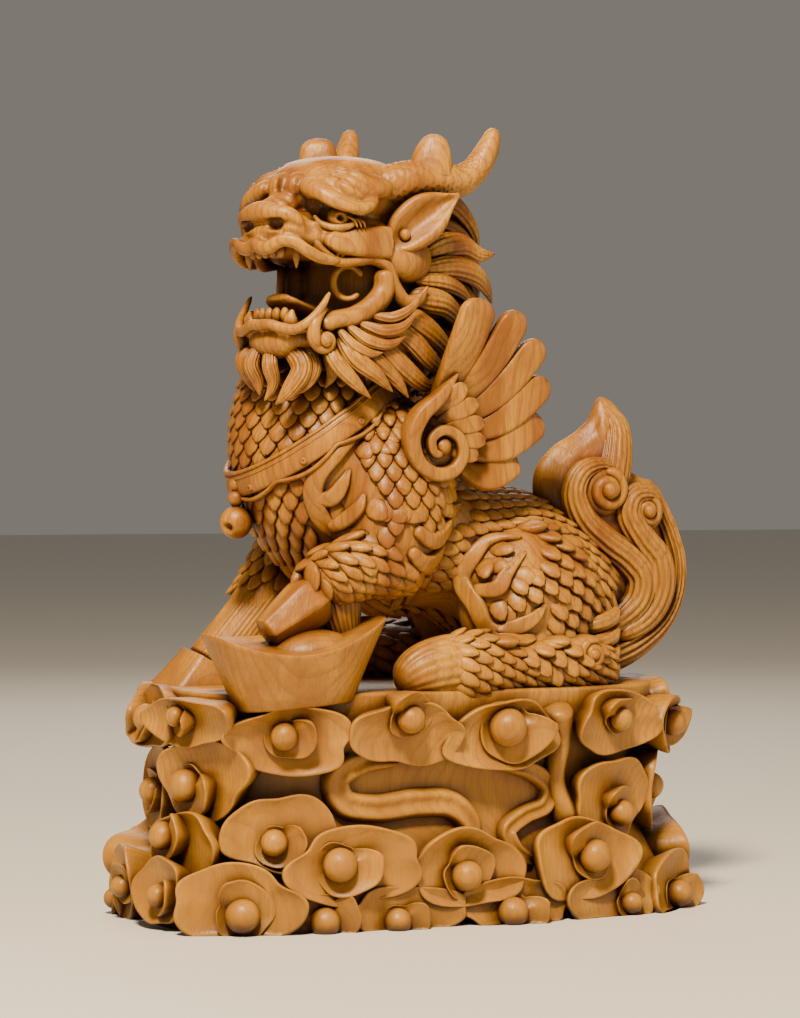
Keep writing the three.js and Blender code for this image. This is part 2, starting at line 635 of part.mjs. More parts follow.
// Joins every mass of the carving into one solid
function carving() {
  const headFrame = new THREE.Matrix4().makeBasis(
    new THREE.Vector3(-Math.cos(headYaw), -Math.sin(headYaw), 0),
    new THREE.Vector3(Math.sin(headYaw), -Math.cos(headYaw), 0),
    new THREE.Vector3(0, 0, 1),
  );
  headFrame.setPosition(headCentre);
  const head = [...skull(), ...mane()].map((g) => g.applyMatrix4(headFrame));
  const beast = [
    ...torso(),
    ...forelegs(),
    ...hindlegs(),
    ...flameOrnaments(),
    ...spineFins(),
    ...collar(),
    ...wings(),
    ...tail(),
    ...head,
  ].map((g) => g.scale(poseUnit, poseUnit, poseUnit).translate(0, 0, baseHeight));
  const seat = ingot().map((g) => g.translate(0, 0, baseHeight));
  const solids = [...cloudBase(), ...seat, ...beast].map(solidOf);
  return keepOutside(wasm.Manifold.union(solids));
}

const joined = carving().getMesh();
const geometry = new THREE.BufferGeometry();
geometry.setAttribute(
  "position",
  new THREE.BufferAttribute(new Float32Array(joined.vertProperties), 3),
);
geometry.setIndex(new THREE.BufferAttribute(new Uint32Array(joined.triVerts), 1));
geometry.computeVertexNormals();

const figure = new THREE.Mesh(geometry, boxwood);
figure.name = "qilin_carving";

const part = new THREE.Group();
part.add(figure);

export default part;
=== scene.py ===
"""The looks of a boxwood qilin: a scaled, winged beast carved in one block with its clouds and ingot.

Lengths are millimetres of the carving, turned to metres by one factor taken from the frame, so the
looks follow the solid's height. The beast faces -X and its left flank faces -Y.
"""

import math

import bmesh
import bpy
import numpy as np
from bpy.props import FloatProperty, FloatVectorProperty, IntProperty, PointerProperty
from mathutils import Matrix, Vector
from mathutils.bvhtree import BVHTree


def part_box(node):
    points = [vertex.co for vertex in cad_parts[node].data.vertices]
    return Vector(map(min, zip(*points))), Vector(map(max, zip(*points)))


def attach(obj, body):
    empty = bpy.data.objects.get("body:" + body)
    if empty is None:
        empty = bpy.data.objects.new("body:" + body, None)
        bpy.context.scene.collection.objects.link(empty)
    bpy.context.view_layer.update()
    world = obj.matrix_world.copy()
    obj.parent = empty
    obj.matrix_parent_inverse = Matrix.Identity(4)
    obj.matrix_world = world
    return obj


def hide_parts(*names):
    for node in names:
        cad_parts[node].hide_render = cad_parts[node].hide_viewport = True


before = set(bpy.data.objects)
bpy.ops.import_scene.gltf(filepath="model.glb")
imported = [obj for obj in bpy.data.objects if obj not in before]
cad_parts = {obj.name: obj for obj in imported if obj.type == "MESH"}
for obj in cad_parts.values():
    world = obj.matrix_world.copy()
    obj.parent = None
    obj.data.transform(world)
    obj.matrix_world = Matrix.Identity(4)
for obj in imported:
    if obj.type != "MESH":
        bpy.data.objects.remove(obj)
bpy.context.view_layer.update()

bl_info = {
    "name": "Boxwood qilin",
    "version": (1, 0, 0),
    "blender": (4, 5, 0),
    "location": "View3D > Sidebar > Qilin",
    "description": "Carves a boxwood qilin on ruyi clouds around its solid",
    "category": "Add Mesh",
}

NODE = "qilin_carving"
BODY = "root"
WOOD = "carved_boxwood"

# The frame gives the height of the block, and the carving is drawn at its own height in millimetres
BLOCK_LOW, BLOCK_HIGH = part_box(NODE)
CARVED_HEIGHT = 161.6
MM = (BLOCK_HIGH.z - BLOCK_LOW.z) / CARVED_HEIGHT

PLATEAU = 46.0  # top of the clouds that the beast sits on

skins = {}  # carved skins that other pieces are seated on, by name
balls = {}  # spheres that shells start from, by their sides and steps


def linear(hex_colour):
    """The linear colour of an sRGB hex value."""
    values = [int(hex_colour[i : i + 2], 16) / 255 for i in (1, 3, 5)]
    return tuple(v / 12.92 if v <= 0.04045 else ((v + 0.055) / 1.055) ** 2.4 for v in values) + (1.0,)


# Sizes and colours that a user would change

def length_setting(name, description, default):
    return FloatProperty(name=name, description=description, default=default, min=0.0, subtype="DISTANCE",
                         unit="LENGTH")


def share_setting(name, description, default):
    return FloatProperty(name=name, description=description, default=default, min=0.0, max=2.0,
                         subtype="FACTOR")


def colour_setting(name, description, hex_colour):
    return FloatVectorProperty(name=name, description=description, default=linear(hex_colour), size=4,
                               min=0.0, max=1.0, subtype="COLOR")


def angle_setting(name, description, degrees):
    return FloatProperty(name=name, description=description, default=math.radians(degrees), subtype="ANGLE",
                         unit="ROTATION")


def power_setting(name, description, watts):
    return FloatProperty(name=name, description=description, default=watts, min=0.0, subtype="POWER",
                         unit="POWER")


class CarvingSettings(bpy.types.PropertyGroup):
    """Sizes of the finer carving."""

    haunch_row: length_setting("Haunch rows", "Gap between the rows of scales on a haunch", 2.7 * MM)
    haunch_gap: length_setting("Haunch scales", "Gap between the scales of one row on a haunch", 3.7 * MM)
    haunch_rise: share_setting("Haunch rise", "Rise of a haunch scale's free end, as a share of its length",
                               0.56)
    scale_rise: share_setting("Scale rise",
                              "Rise of the other scales' free ends, as a share of their length", 0.35)
    scale_dome: share_setting("Scale dome", "Swelling of a scale's middle, as a share of its rise", 0.7)
    feather_hollow: length_setting("Feather hollow", "Depth of the hollow in a feather's face", 0.7 * MM)
    horn_pits: length_setting("Horn pits", "Depth of the pits in the horns", 0.34 * MM)
    tail_half: length_setting("Tail", "Half the thickness of the tail's flame", 5.9 * MM)
    collar_half: length_setting("Collar", "Half the width of the collar's band", 2.5 * MM)
    brow_lines: IntProperty(name="Brow lines", description="Lines combed over each brow", default=6, min=2,
                            max=16)
    hair_lines: share_setting("Hair lines", "Fineness of the combed hair", 1.0)
    pearl: share_setting("Pearls", "Size of the clouds' pearls against the photographed ones", 1.0)


class WoodSettings(bpy.types.PropertyGroup):
    """Colours and grain of the boxwood, and the painted shade, partly patina, of its creases and hollows.
    """

    dark: colour_setting("Dark wood", "Colour of the wood's darker streaks", "#8A5414")
    light: colour_setting("Light wood", "Colour of the wood's lighter streaks", "#BE882E")
    pale: colour_setting("Pale wood", "Colour towards the foot of the block", "#C08C36")
    ring: colour_setting("Rings", "Colour of the growth rings", "#6E370B")
    pore: colour_setting("Pores", "Colour of the fine pores", "#7A4410")
    # The two colours below for creases and hollows are painted shade, partly the dark patina of the
    # carving's hollows: they are mixed in where ambient occlusion finds creases and deep hollows
    crease_shade_and_patina: colour_setting("Creases", "Colour of the polish left in fine creases", "#542709")
    hollow: colour_setting("Hollows", "Colour of the deep hollows", "#2C1405")
    ring_gap: length_setting("Ring gap", "Gap between growth rings", 0.0011)
    ring_strength: share_setting("Ring strength", "How far the rings darken the wood", 0.42)
    fibre: length_setting("Fibre", "Width of the wood's fibres, drawn as coarse as the render shows",
                          0.0004)
    cut: length_setting("Knife cuts", "Width of the knife's cuts", 0.0024)
    cut_depth: length_setting("Cut depth", "Depth of the knife's cuts", 0.0004)
    patch: length_setting("Patches", "Length of the slow changes of tone", 0.03)


class StageSettings(bpy.types.PropertyGroup):
    """Camera, lights and floor."""

    turn: angle_setting("Camera turn", "Turn of the camera about the beast, from its left flank", -22.0)
    rise: angle_setting("Camera rise", "Rise of the camera above the level", 0.6)
    distance: length_setting("Camera distance", "Distance of the camera from the middle of the carving",
                             650.0 * MM)
    key: power_setting("Key light", "Power of the light from the front left", 13.5)
    fill: power_setting("Fill light", "Power of the soft light from the right", 1.2)
    rim: power_setting("Rim light", "Power of the light from behind", 1.3)
    key_colour: colour_setting("Key colour", "Colour of the key light", "#FFE6C0")
    room: colour_setting("Room", "Colour of the light all round", "#EFE6D8")
    room_strength: share_setting("Room light", "Strength of the light all round", 0.24)
    floor: colour_setting("Floor", "Colour of the floor", "#D9D6D0")


# Curves

def curve_points(points, shares):
    """Points at shares 0 to 1 of a centripetal curve through the given points."""
    p = np.asarray(points, float)
    last = len(p) - 1
    place = np.clip(np.asarray(shares, float), 0, 1) * last
    step = np.minimum(place.astype(int), last - 1)
    w = (place - step)[:, None]
    longer = np.vstack([2 * p[0] - p[1], p, 2 * p[-1] - p[-2]])
    p0, p1, p2, p3 = (longer[step + i] for i in range(4))

    def gap(a, b):
        return np.maximum(((a - b) ** 2).sum(1) ** 0.25, 1e-4)[:, None]

    d0, d1, d2 = gap(p0, p1), gap(p1, p2), gap(p2, p3)
    t1 = ((p1 - p0) / d0 - (p2 - p0) / (d0 + d1) + (p2 - p1) / d1) * d1
    t2 = ((p2 - p1) / d1 - (p3 - p1) / (d1 + d2) + (p3 - p2) / d2) * d1
    c2 = -3 * p1 + 3 * p2 - 2 * t1 - t2
    c3 = 2 * p1 - 2 * p2 + t1 + t2
    return p1 + t1 * w + c2 * w**2 + c3 * w**3


def even_shares(points, count):
    """Shares of a path whose points lie at even distances along it."""
    fine = np.linspace(0, 1, 400)
    spots = curve_points(points, fine)
    run = np.concatenate([[0], np.cumsum(np.linalg.norm(np.diff(spots, axis=0), axis=1))])
    return np.interp(np.linspace(0, run[-1], count), run, fine)


def sizes_at(sizes, shares):
    """Sizes at shares 0 to 1 of a smooth curve through a list of sizes, or one size everywhere."""
    shares = np.clip(np.asarray(shares, float), 0, 1)
    if np.isscalar(sizes):
        return np.full(shares.shape, float(sizes))
    s = np.asarray(sizes, float)
    last = len(s) - 1
    place = shares * last
    step = np.minimum(place.astype(int), last - 1)
    w = place - step
    v = [s[np.clip(step + i, 0, last)] for i in (-1, 0, 1, 2)]
    a = (v[2] - v[0]) / 2
    b = (v[3] - v[1]) / 2
    value = v[1] + a * w + (3 * (v[2] - v[1]) - 2 * a - b) * w**2
    return np.maximum(value + (2 * (v[1] - v[2]) + a + b) * w**3, 0.02)


def unit(vectors):
    """The vectors at a length of one."""
    return vectors / np.maximum(np.linalg.norm(vectors, axis=-1, keepdims=True), 1e-9)


def frames_along(path, shares, up):
    """Centre, tangent, sideways and upward directions at shares of a path. up is one direction, or
    one for each point of the path."""
    centre = curve_points(path, shares)
    step = 1e-3
    ahead = curve_points(path, np.clip(shares + step, 0, 1))
    behind = curve_points(path, np.clip(shares - step, 0, 1))
    along = unit(ahead - behind)
    up = np.asarray(up, float)
    up = curve_points(up, shares) if up.ndim == 2 else np.broadcast_to(up, along.shape)
    across = unit(np.cross(along, up))
    return centre, along, across, unit(np.cross(across, along))


# Shapes. Each adds one closed shell to a bmesh.

def ball_grid(sides, steps):
    """A sphere from pole to pole along Z: its mesh, and each vertex's place, row and angle."""
    if (sides, steps) not in balls:
        bm = bmesh.new()
        bmesh.ops.create_uvsphere(bm, u_segments=sides, v_segments=steps, radius=1)
        mesh = bpy.data.meshes.new("ball")
        bm.to_mesh(mesh)
        bm.free()
        co = np.empty(len(mesh.vertices) * 3)
        mesh.vertices.foreach_get("co", co)
        co = co.reshape(-1, 3)
        row = np.round(np.arccos(np.clip(co[:, 2], -1, 1)) / math.pi * steps).astype(int)
        balls[sides, steps] = mesh, co, row, np.arctan2(co[:, 1], co[:, 0])
    return balls[sides, steps]


def shell(bm, sides, steps, place):
    """Adds a sphere whose vertices are moved by place, which takes their places, rows and angles."""
    mesh, co, row, turn = ball_grid(sides, steps)
    spots = np.ascontiguousarray(place(co, row, turn), dtype=np.float32)
    mesh.vertices.foreach_set("co", spots.ravel())
    bm.from_mesh(mesh)


def squared(value, power):
    """A power that keeps the sign, which squares a circle off where the power is below one."""
    return np.sign(value) * np.abs(value) ** power


def bar(bm, path, width, depth, up=(0, -1, 0), sides=16, steps=40, cap=(0.07, 0.07), relief=None,
        press=None, square=1.0):
    """A round-ended bar along a path, with half sizes across and towards up. relief gives the share by
    which its section grows, and press the millimetres by which it rises, at a share and an angle. cap
    is the share of the path over which each end is rounded."""

    def place(co, row, turn):
        share = row / steps
        centre, _, across, out = frames_along(path, share, up)
        end = np.clip(np.minimum(share / max(cap[0], 1e-6), (1 - share) / max(cap[1], 1e-6)), 0, 1)
        grow = np.sqrt(np.maximum(1 - (1 - end) ** 2, 0))
        if relief is not None:
            grow = grow * (1 + relief(share, turn))
        w = sizes_at(width, share) * grow * squared(np.cos(turn), square)
        d = sizes_at(depth, share) * grow * squared(np.sin(turn), square)
        if press is not None:
            d = d + press(share, turn) * (grow > 0.5)
        return centre + across * w[:, None] + out * d[:, None]

    shell(bm, sides, steps, place)


def lump(bm, centre, radii, sides=28, steps=20, square=1.0):
    """An ellipsoid, squarer the smaller square is."""

    def place(co, row, turn):
        p = squared(co, square)
        p = p / (np.abs(p) ** (2 / square)).sum(1)[:, None] ** (square / 2) * np.asarray(radii, float)
        return p + np.asarray(centre, float)

    shell(bm, sides, steps, place)


def turned(bm, profile, sides, place):
    """A shell turned from a profile of (radius, height) and set down by place, which takes arrays of
    radius, height and angle."""
    p = np.asarray(profile, float)
    shell(bm, sides, len(profile) - 1, lambda co, row, turn: place(p[row, 0], p[row, 1], turn))


RIDGE_POWER = 0.8  # below one it rounds the ridges of combed hair and sharpens the grooves


def combed(count, deep, ease=0.1):
    """Relief of combed hair: rounded ridges round the section with sharp grooves between them. ease is
    the share of the path over which they fade in and out."""

    def relief(share, turn):
        ridge = np.abs(np.sin(count * turn / 2)) ** RIDGE_POWER
        fade = np.clip(np.minimum(share, 1 - share) / ease, 0, 1)
        return -deep * (1 - ridge) * fade

    return relief


SPIRAL_STEPS = 10  # points to each turn of a scroll
SPIRAL_SHRINK = 0.82  # share of its radius that a scroll has lost at its middle


def spiral(bm, centre, out, radius, thick, hand, start, rise, turns=1.6):
    """A scroll: a strand that winds in a flat spiral to a ball at its middle, facing out."""
    out = unit(np.asarray(out, float)[None])[0]
    side = unit(np.cross([0.02, 0.01, 1.0], out)[None])[0]
    over = np.cross(out, side)
    path = []
    for i in range(int(turns * SPIRAL_STEPS) + 1):
        share = i / (turns * SPIRAL_STEPS)
        angle = math.radians(start) + hand * share * turns * 2 * math.pi
        r = (radius - thick) * (1 - SPIRAL_SHRINK * share)
        spot = np.asarray(centre) + side * r * math.cos(angle) + over * r * math.sin(angle)
        path.append(spot + out * rise * share)
    bar(bm, path, [thick, thick, thick * 0.8, thick * 0.6], thick * 1.15, up=out, sides=10,
        steps=6 * len(path))
    lump(bm, np.asarray(centre) + out * rise, (thick * 1.35,) * 3, 18, 12)


def drilled_ball(bm, centre, radius, facing, deep=0.45, wide=0.3, sides=48):
    """A ball with a hole drilled in the side towards facing. deep is the hole's share of the radius, and
    wide its half angle in radians."""
    facing = unit(np.asarray(facing, float)[None])[0]

    def place(co, row, turn):
        off = np.arccos(np.clip(co @ facing, -1, 1))
        return np.asarray(centre) + co * radius * (1 - deep * np.exp(-((off / wide) ** 4)))[:, None]

    shell(bm, sides, sides * 2 // 3, place)


def hollow_face(depth):
    """The slight hollow of a blade's face beside its rim."""

    def press(share, turn):
        return -depth * np.exp(-(((turn - math.pi / 2) / 0.95) ** 2)) * np.clip(share * 2, 0, 1)

    return press


def on_side(points, side):
    """The points on the side that they are given for, or with a side of -1 on the other one."""
    return [(x, side * y, z) for x, y, z in points]


# Pieces

def new_piece(name, bm, lifted=True):
    """Turns a bmesh in millimetres into a piece at the origin that rides on the root body. Lifted
    pieces are drawn with the plateau at zero."""
    if lifted:
        bmesh.ops.translate(bm, vec=(0, 0, PLATEAU), verts=bm.verts[:])
    bmesh.ops.recalc_face_normals(bm, faces=bm.faces[:])
    bmesh.ops.scale(bm, vec=(MM, MM, MM), verts=bm.verts[:])
    mesh = bpy.data.meshes.new(name)
    bm.to_mesh(mesh)
    bm.free()
    mesh.polygons.foreach_set("use_smooth", [True] * len(mesh.polygons))
    mesh.materials.append(bpy.data.materials.get(WOOD) or boxwood(bpy.context.scene.qilin_wood))
    piece = bpy.data.objects.new(name, mesh)
    bpy.context.scene.collection.objects.link(piece)
    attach(piece, BODY)
    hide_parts(NODE)


def fuse(bm, voxel, rounds, keep):
    """Melts the shells of a bmesh into one skin on a grid of voxels, eases its steps in some rounds, and
    keeps that share of its faces."""
    mesh = bpy.data.meshes.new("fuse")
    bm.to_mesh(mesh)
    block = bpy.data.objects.new("fuse", mesh)
    bpy.context.scene.collection.objects.link(block)
    remesh = block.modifiers.new("voxels", "REMESH")
    remesh.mode = "VOXEL"
    remesh.voxel_size = voxel
    ease = block.modifiers.new("ease", "SMOOTH")
    ease.factor = 0.5
    ease.iterations = rounds
    thin = block.modifiers.new("thin", "DECIMATE")
    thin.ratio = keep
    graph = bpy.context.evaluated_depsgraph_get()
    melted = bpy.data.meshes.new_from_object(block.evaluated_get(graph))
    bm.clear()
    bm.from_mesh(melted)
    bm.verts.ensure_lookup_table()
    bpy.data.objects.remove(block)
    bpy.data.meshes.remove(mesh)
    bpy.data.meshes.remove(melted)


STROKE_STEP = 0.3  # gap between a stroke's points, as a share of its half width
STROKE_REACH = 1.5  # half widths from its line to where a groove ends
STROKE_END = 0.25  # share of a stroke over which each end runs out


def sculpt(bm, strokes):
    """Strokes of a gouge on the skin of a bmesh: a path near the skin, the half width and the depth of
    the groove. A negative depth raises a ridge."""
    bm.normal_update()
    bm.verts.ensure_lookup_table()
    surface = BVHTree.FromBMesh(bm)
    co = np.array([vert.co for vert in bm.verts])
    normal = np.array([vert.normal for vert in bm.verts])
    move = np.zeros(len(co))
    for path, half, depth in strokes:
        length = np.linalg.norm(np.diff(np.asarray(path, float), axis=0), axis=1).sum()
        spots = curve_points(path, np.linspace(0, 1, max(int(length / (STROKE_STEP * half)), 8)))
        spots = np.array([surface.find_nearest(Vector(spot))[0] for spot in spots])
        near = np.where(((co > spots.min(0) - 2 * half) & (co < spots.max(0) + 2 * half)).all(1))[0]
        if not len(near):
            continue
        gaps = np.linalg.norm(co[near, None] - spots[None], axis=2)
        share = gaps.argmin(1) / (len(spots) - 1)
        fade = np.clip(np.minimum(share, 1 - share) / STROKE_END, 0.1, 1)
        groove = np.clip(1 - (gaps.min(1) / (STROKE_REACH * half)) ** 2, 0, 1) ** 1.5
        move[near] -= depth * fade * groove
    moved = co + normal * move[:, None]
    for i in np.where(move != 0)[0]:
        bm.verts[i].co = moved[i]


# The cloud base. The plan of its wall is a rounded oblong whose half sizes change with height.

PLAN_POWER = 3.4
WALL = (  # height, half length, half depth, middle
    (0.0, 54.5, 27.5, 0.0),
    (8.0, 54.0, 27.0, 0.0),
    (14.0, 50.5, 25.0, 0.3),
    (20.0, 47.0, 23.5, 0.7),
    (28.0, 46.0, 23.0, 1.0),
    (36.0, 48.5, 24.0, 1.5),
    (41.0, 50.0, 26.0, 1.5),
    (46.0, 50.5, 26.5, 1.5),
)


def wall_plan(angle, z):
    """The wall's plan at an angle about its middle, and a height."""
    heights, lengths, depths, middles = zip(*WALL)
    a, b = np.interp(z, heights, lengths), np.interp(z, heights, depths)
    c, s = np.cos(angle), np.sin(angle)
    r = (np.abs(c / a) ** PLAN_POWER + np.abs(s / b) ** PLAN_POWER) ** (-1 / PLAN_POWER)
    return r * c, r * s, np.interp(z, heights, middles)


def wall_spot(angle, z):
    """A point of the wall, with the outward and sideways directions there."""
    x, y, middle = wall_plan(angle, z)
    ahead_x, ahead_y, _ = wall_plan(angle + 0.01, z)
    out = Vector((ahead_y - y, x - ahead_x, 0)).normalized()
    return Vector((x + middle, y, z)), out, Vector((-out.y, out.x, 0))


def front_angle(x, z):
    """The plan angle of the near wall's point at x."""
    angles = np.radians(np.arange(185, 356, 0.5))
    across, _, middle = wall_plan(angles, z)
    return float(np.interp(x, across + middle, angles))


# A dish from its hidden back over the rim into the hollow: share of the radius, share of the height
DISH = (
    (0, -1.3), (0.45, -1.3), (0.62, -0.7), (0.8, 0.0), (0.93, 0.52), (0.985, 0.76), (1.0, 0.9),
    (0.995, 0.97), (0.97, 1.0), (0.93, 0.96), (0.84, 0.88), (0.7, 0.8), (0.52, 0.74), (0.3, 0.7), (0, 0.68),
)
# Waves of a leaf's rim: height as a share of the radius, count round the rim, start in radians
WAVES = ((0.05, 2, 0.4), (0.065, 3, 0.0), (0.045, 5, 0.9), (0.016, 8, 0.3))
SWIRL_STEP = 0.6  # radians over which the cup's rim drops back to its narrow start
CUP_TIP = 12  # degrees by which a cup turns away from its leaf
FAR_PROUD = 5.0  # how far the leaves of the hidden sides stand out


def dish(bm, spot, across, up, out, half_width, half_height, rise, phase, sides, wavy=1.0, curl=0.0,
         start=0.0):
    """One dished cloud leaf with a wavy rim. curl makes the rim a spiral that widens as it goes round."""

    def place(radius, height, turn):
        wave = sum(a * np.sin(n * turn + n * p + phase * (1 + 0.7 * n)) for a, n, p in WAVES)
        grow = 1 + wavy * wave
        if curl:
            lap = np.mod(turn - start, 2 * math.pi)
            share = np.where(lap < 2 * math.pi - SWIRL_STEP, lap / (2 * math.pi - SWIRL_STEP),
                             (2 * math.pi - lap) / SWIRL_STEP)
            grow = grow * (1 - curl + 2 * curl * share)
            height = np.where(height > 0, height * (0.5 + 0.75 * share), height)
        lip = 1 + 0.16 * wavy * np.sin(2 * turn + 2.1 * phase) * radius**2
        return (
            np.asarray(spot)
            + np.outer(radius * grow * half_width * np.cos(turn), across)
            + np.outer(radius * grow * half_height * np.sin(turn), up)
            + np.outer(height * lip * rise, out)
        )

    turned(bm, DISH, sides, place)


def cloud(bm, turn, z, width, height, ball, at, hand, lean, proud, phase, sides=72):
    """A cloud on the wall: its leaf, the cup that curls round the pearl, and the pearl. at moves the
    pearl sideways and up from the middle of the leaf, and lean tips the leaf's lower edge outward."""
    spot, out, across = wall_spot(turn, z)
    across = -across if across.x < 0 or abs(across.x) < 0.2 and across.y > 0 else across
    tip = Matrix.Rotation(math.radians(lean), 3, across)
    up = tip @ Vector((0, 0, 1))
    out = tip @ out
    first = len(bm.verts)
    dish(bm, spot, across, up, out, width / 2, height / 2, proud, phase, sides)
    heart = spot + across * at[0] + up * at[1]
    cup_tip = Matrix.Rotation(math.radians(-CUP_TIP * hand), 3, up)
    cup_spot = heart + across * (hand * 0.35 * ball) + out * (proud * 0.42)
    dish(bm, cup_spot, cup_tip @ across, up, cup_tip @ out, ball * 1.8, ball * 1.65, proud * 0.72,
         phase + 1.3, sides * 2 // 3, wavy=0.6, curl=0.32, start=(0.6 if hand > 0 else 2.4) + phase % 1.0)
    middle = heart + out * (proud * 0.95 + ball * 0.15)
    lump(bm, middle, (ball,) * 3, sides // 3, sides // 4)
    bm.verts.ensure_lookup_table()
    for vert in bm.verts[first:]:
        vert.co.z = min(max(vert.co.z, 0), PLATEAU + 0.5)


# Clouds of the near side: plan angle in degrees, height, width and height of the leaf, pearl, the
# pearl's place on the leaf, hand, lean in degrees, how proud
NEAR_CLOUDS = (
    (195, 41.5, 26, 10, 2.0, (-2.5, 1), 1, 14, 4.5),
    (213.5, 38, 26, 13.5, 2.7, (-1.3, 1), 1, 12, 4.5),
    (245.5, 39, 24, 13.5, 2.8, (0, 3.6), -1, 18, 4.5),
    (290, 37.5, 24, 14.5, 3.8, (0.4, 2), 1, 8, 5.0),
    (326, 39.5, 22, 13, 2.4, (0, 1), -1, 12, 4.5),
    (342, 38.5, 16, 12, 2.7, (2, 0), 1, 10, 6.0),
    (196, 29.5, 23, 17, 3.3, (-4.4, -1.5), 1, 4, 5.0),
    (195, 15.5, 19, 15, 2.8, (-5, 2.5), 1, 0, 5.0),
    (212, 18.5, 23, 16, 2.7, (-1.7, -1.5), 1, -4, 4.5),
    (229.5, 12.5, 28, 15.5, 3.4, (-3.3, 0.6), 1, 0, 5.5),
    (274.5, 11.5, 25.5, 15, 3.1, (-0.7, -1.2), -1, 4, 5.5),
    (317, 11.5, 23, 17.5, 3.3, (2.2, 0.6), -1, -4, 5.5),
    (329, 23.5, 20, 17, 2.7, (2, -3), -1, 4, 5.0),
    (176, 8, 15, 15, 2.3, (-1, -1), -1, -4, 4.5),
    (193, 7.5, 15, 14, 2.3, (1, -1), 1, -4, 4.0),
    (168, 3.5, 14, 12, 2.1, (-1, 0), 1, -4, 4.0),
    (208, 5.5, 26, 15.5, 3.4, (1, -2), -1, -4, 4.5),
    (223.5, 3, 17, 10, 3.0, (0.6, -1), 1, 0, 3.0),
    (249, 3, 25, 11, 2.7, (-2.4, -1.4), 1, 0, 3.5),
    (294, 3, 24, 12, 3.1, (-0.9, -1.2), 1, -6, 4.0),
    (323, 3, 22, 13, 2.2, (4, -1.2), -1, -8, 4.0),
    (337.5, 3.5, 18, 15, 2.8, (1.5, -1), 1, -4, 5.0),
)
# Rows of the hidden sides: height, lean in degrees, size of the leaf, pearl and the plan angles
FAR_ROWS = (
    (39.5, 12, (25, 14), 2.8, (1, 20, 39, 67, 113, 141, 160, 177)),
    (25.0, 4, (22, 18), 2.8, (-14, 8, 31, 149, 171)),
    (10.0, -2, (25, 17), 3.1, (-6, 12, 27, 47, 90, 133, 153)),
)

# The ribbons of water on the near wall: x and z of the middle line, and the half width
RIBBONS = (
    (((3, 14), (5, 19), (1.5, 23), (-6, 23.8), (-15, 23), (-21.5, 24.5), (-22.8, 29), (-17.5, 32.5),
      (-9, 33)), 2.9),
    (((9, 31.5), (14.3, 30.6), (19.4, 29), (22.8, 25.8), (21.6, 22.2), (17, 20.4), (13, 17.4), (14.4, 13.8),
      (18.5, 11)), 2.1),
)
TRUNK_RIBBON = ((23, 43), (24.5, 35), (24, 27), (27, 18))
GUTTER_DEPTH = 1.5
CORE_ROWS = 24  # heights at which the wall behind the clouds is drawn


def cloud_core(bm):
    """The wall behind the clouds, the flat underside and the plateau with its rounded edge."""
    wall = np.linspace(0, PLATEAU - 0.8, CORE_ROWS)
    rows = np.concatenate([[0.0], wall, [PLATEAU - 0.25, PLATEAU, PLATEAU]])
    inset = np.concatenate([[0.0], np.ones(CORE_ROWS), [0.994, 0.98, 0.0]])

    def place(radius, height, turn):
        x, y, middle = wall_plan(turn, height)
        return np.stack([x * radius + middle, y * radius, height], axis=1)

    turned(bm, list(zip(inset, rows)), 160, place)


def wall_line(points, proud=0.0):
    """A path on the near wall, from x and z of its points."""
    path = []
    for x, z in points:
        spot, out, _ = wall_spot(front_angle(x, z), z)
        path.append(tuple(spot + out * proud))
    return path


def gutter(share, turn):
    """A sunken middle between two raised lips."""
    return -GUTTER_DEPTH * np.exp(-(((turn - math.pi / 2) / 0.55) ** 2))


def carve_base(sizes):
    bm = bmesh.new()
    for i, (degrees, z, width, height, ball, at, hand, lean, proud) in enumerate(NEAR_CLOUDS):
        cloud(bm, math.radians(degrees), z, width, height, ball * sizes.pearl, at, hand, lean, proud,
              1.7 * i)
    new_piece("clouds_near", bm, lifted=False)
    bm = bmesh.new()
    for i, (z, lean, (width, height), ball, turns) in enumerate(FAR_ROWS):
        for j, degrees in enumerate(turns):
            hand = 1 if (i + j) % 2 else -1
            cloud(bm, math.radians(degrees), z, width, height, ball * sizes.pearl, (hand, -0.5), hand, lean,
                  FAR_PROUD, 2.2 * i + 1.9 * j, sides=48)
    new_piece("clouds_far", bm, lifted=False)
    bm = bmesh.new()
    cloud_core(bm)
    for points, half in RIBBONS:
        path = wall_line(points)
        bar(bm, path, [half * 0.7, half, half, half, half * 0.8], 3.4, sides=32, steps=100, press=gutter)
    bar(bm, wall_line(TRUNK_RIBBON, 0.4), [3.4, 2.3, 2.1, 2.8], [4.6, 3.8, 3.4, 3.8], sides=24, steps=40)
    new_piece("cloud_core", bm, lifted=False)


# The ingot: a boat whose rim rises to two tips, with a dome in the middle

INGOT_AT = (-31.2, -22.0)
INGOT_RIM = (18.75, 10.5)  # half length and half depth at the rim
INGOT_FOOT = (12.0, 7.0)  # and at the foot
INGOT_SINK = 2.5  # depth of its foot in the plateau
INGOT_LOW_RIM = 8.0
INGOT_TIP = 13.4
INGOT_LEAN = 0.07  # rise to the right for each millimetre
INGOT_PITCH = 0.15  # rise of the rim to the back for each millimetre
INGOT_ROUND = 0.82  # fullness of its two ends in plan
# From the middle of its foot over the rim to the middle of its top: shares of the radius and height
INGOT_WALL = (
    (0, 0), (0.6, 0), (0.97, 0), (1.0, 0.03), (1.0, 0.25), (1.0, 0.5), (1.0, 0.75), (1.0, 0.93),
    (1.0, 0.985), (0.985, 1.0), (0.95, 0.995), (0.9, 0.98), (0.82, 0.97), (0.7, 0.965), (0.5, 0.96),
    (0, 0.96),
)
INGOT_DOME = (9.5, 6.6, 5.4)


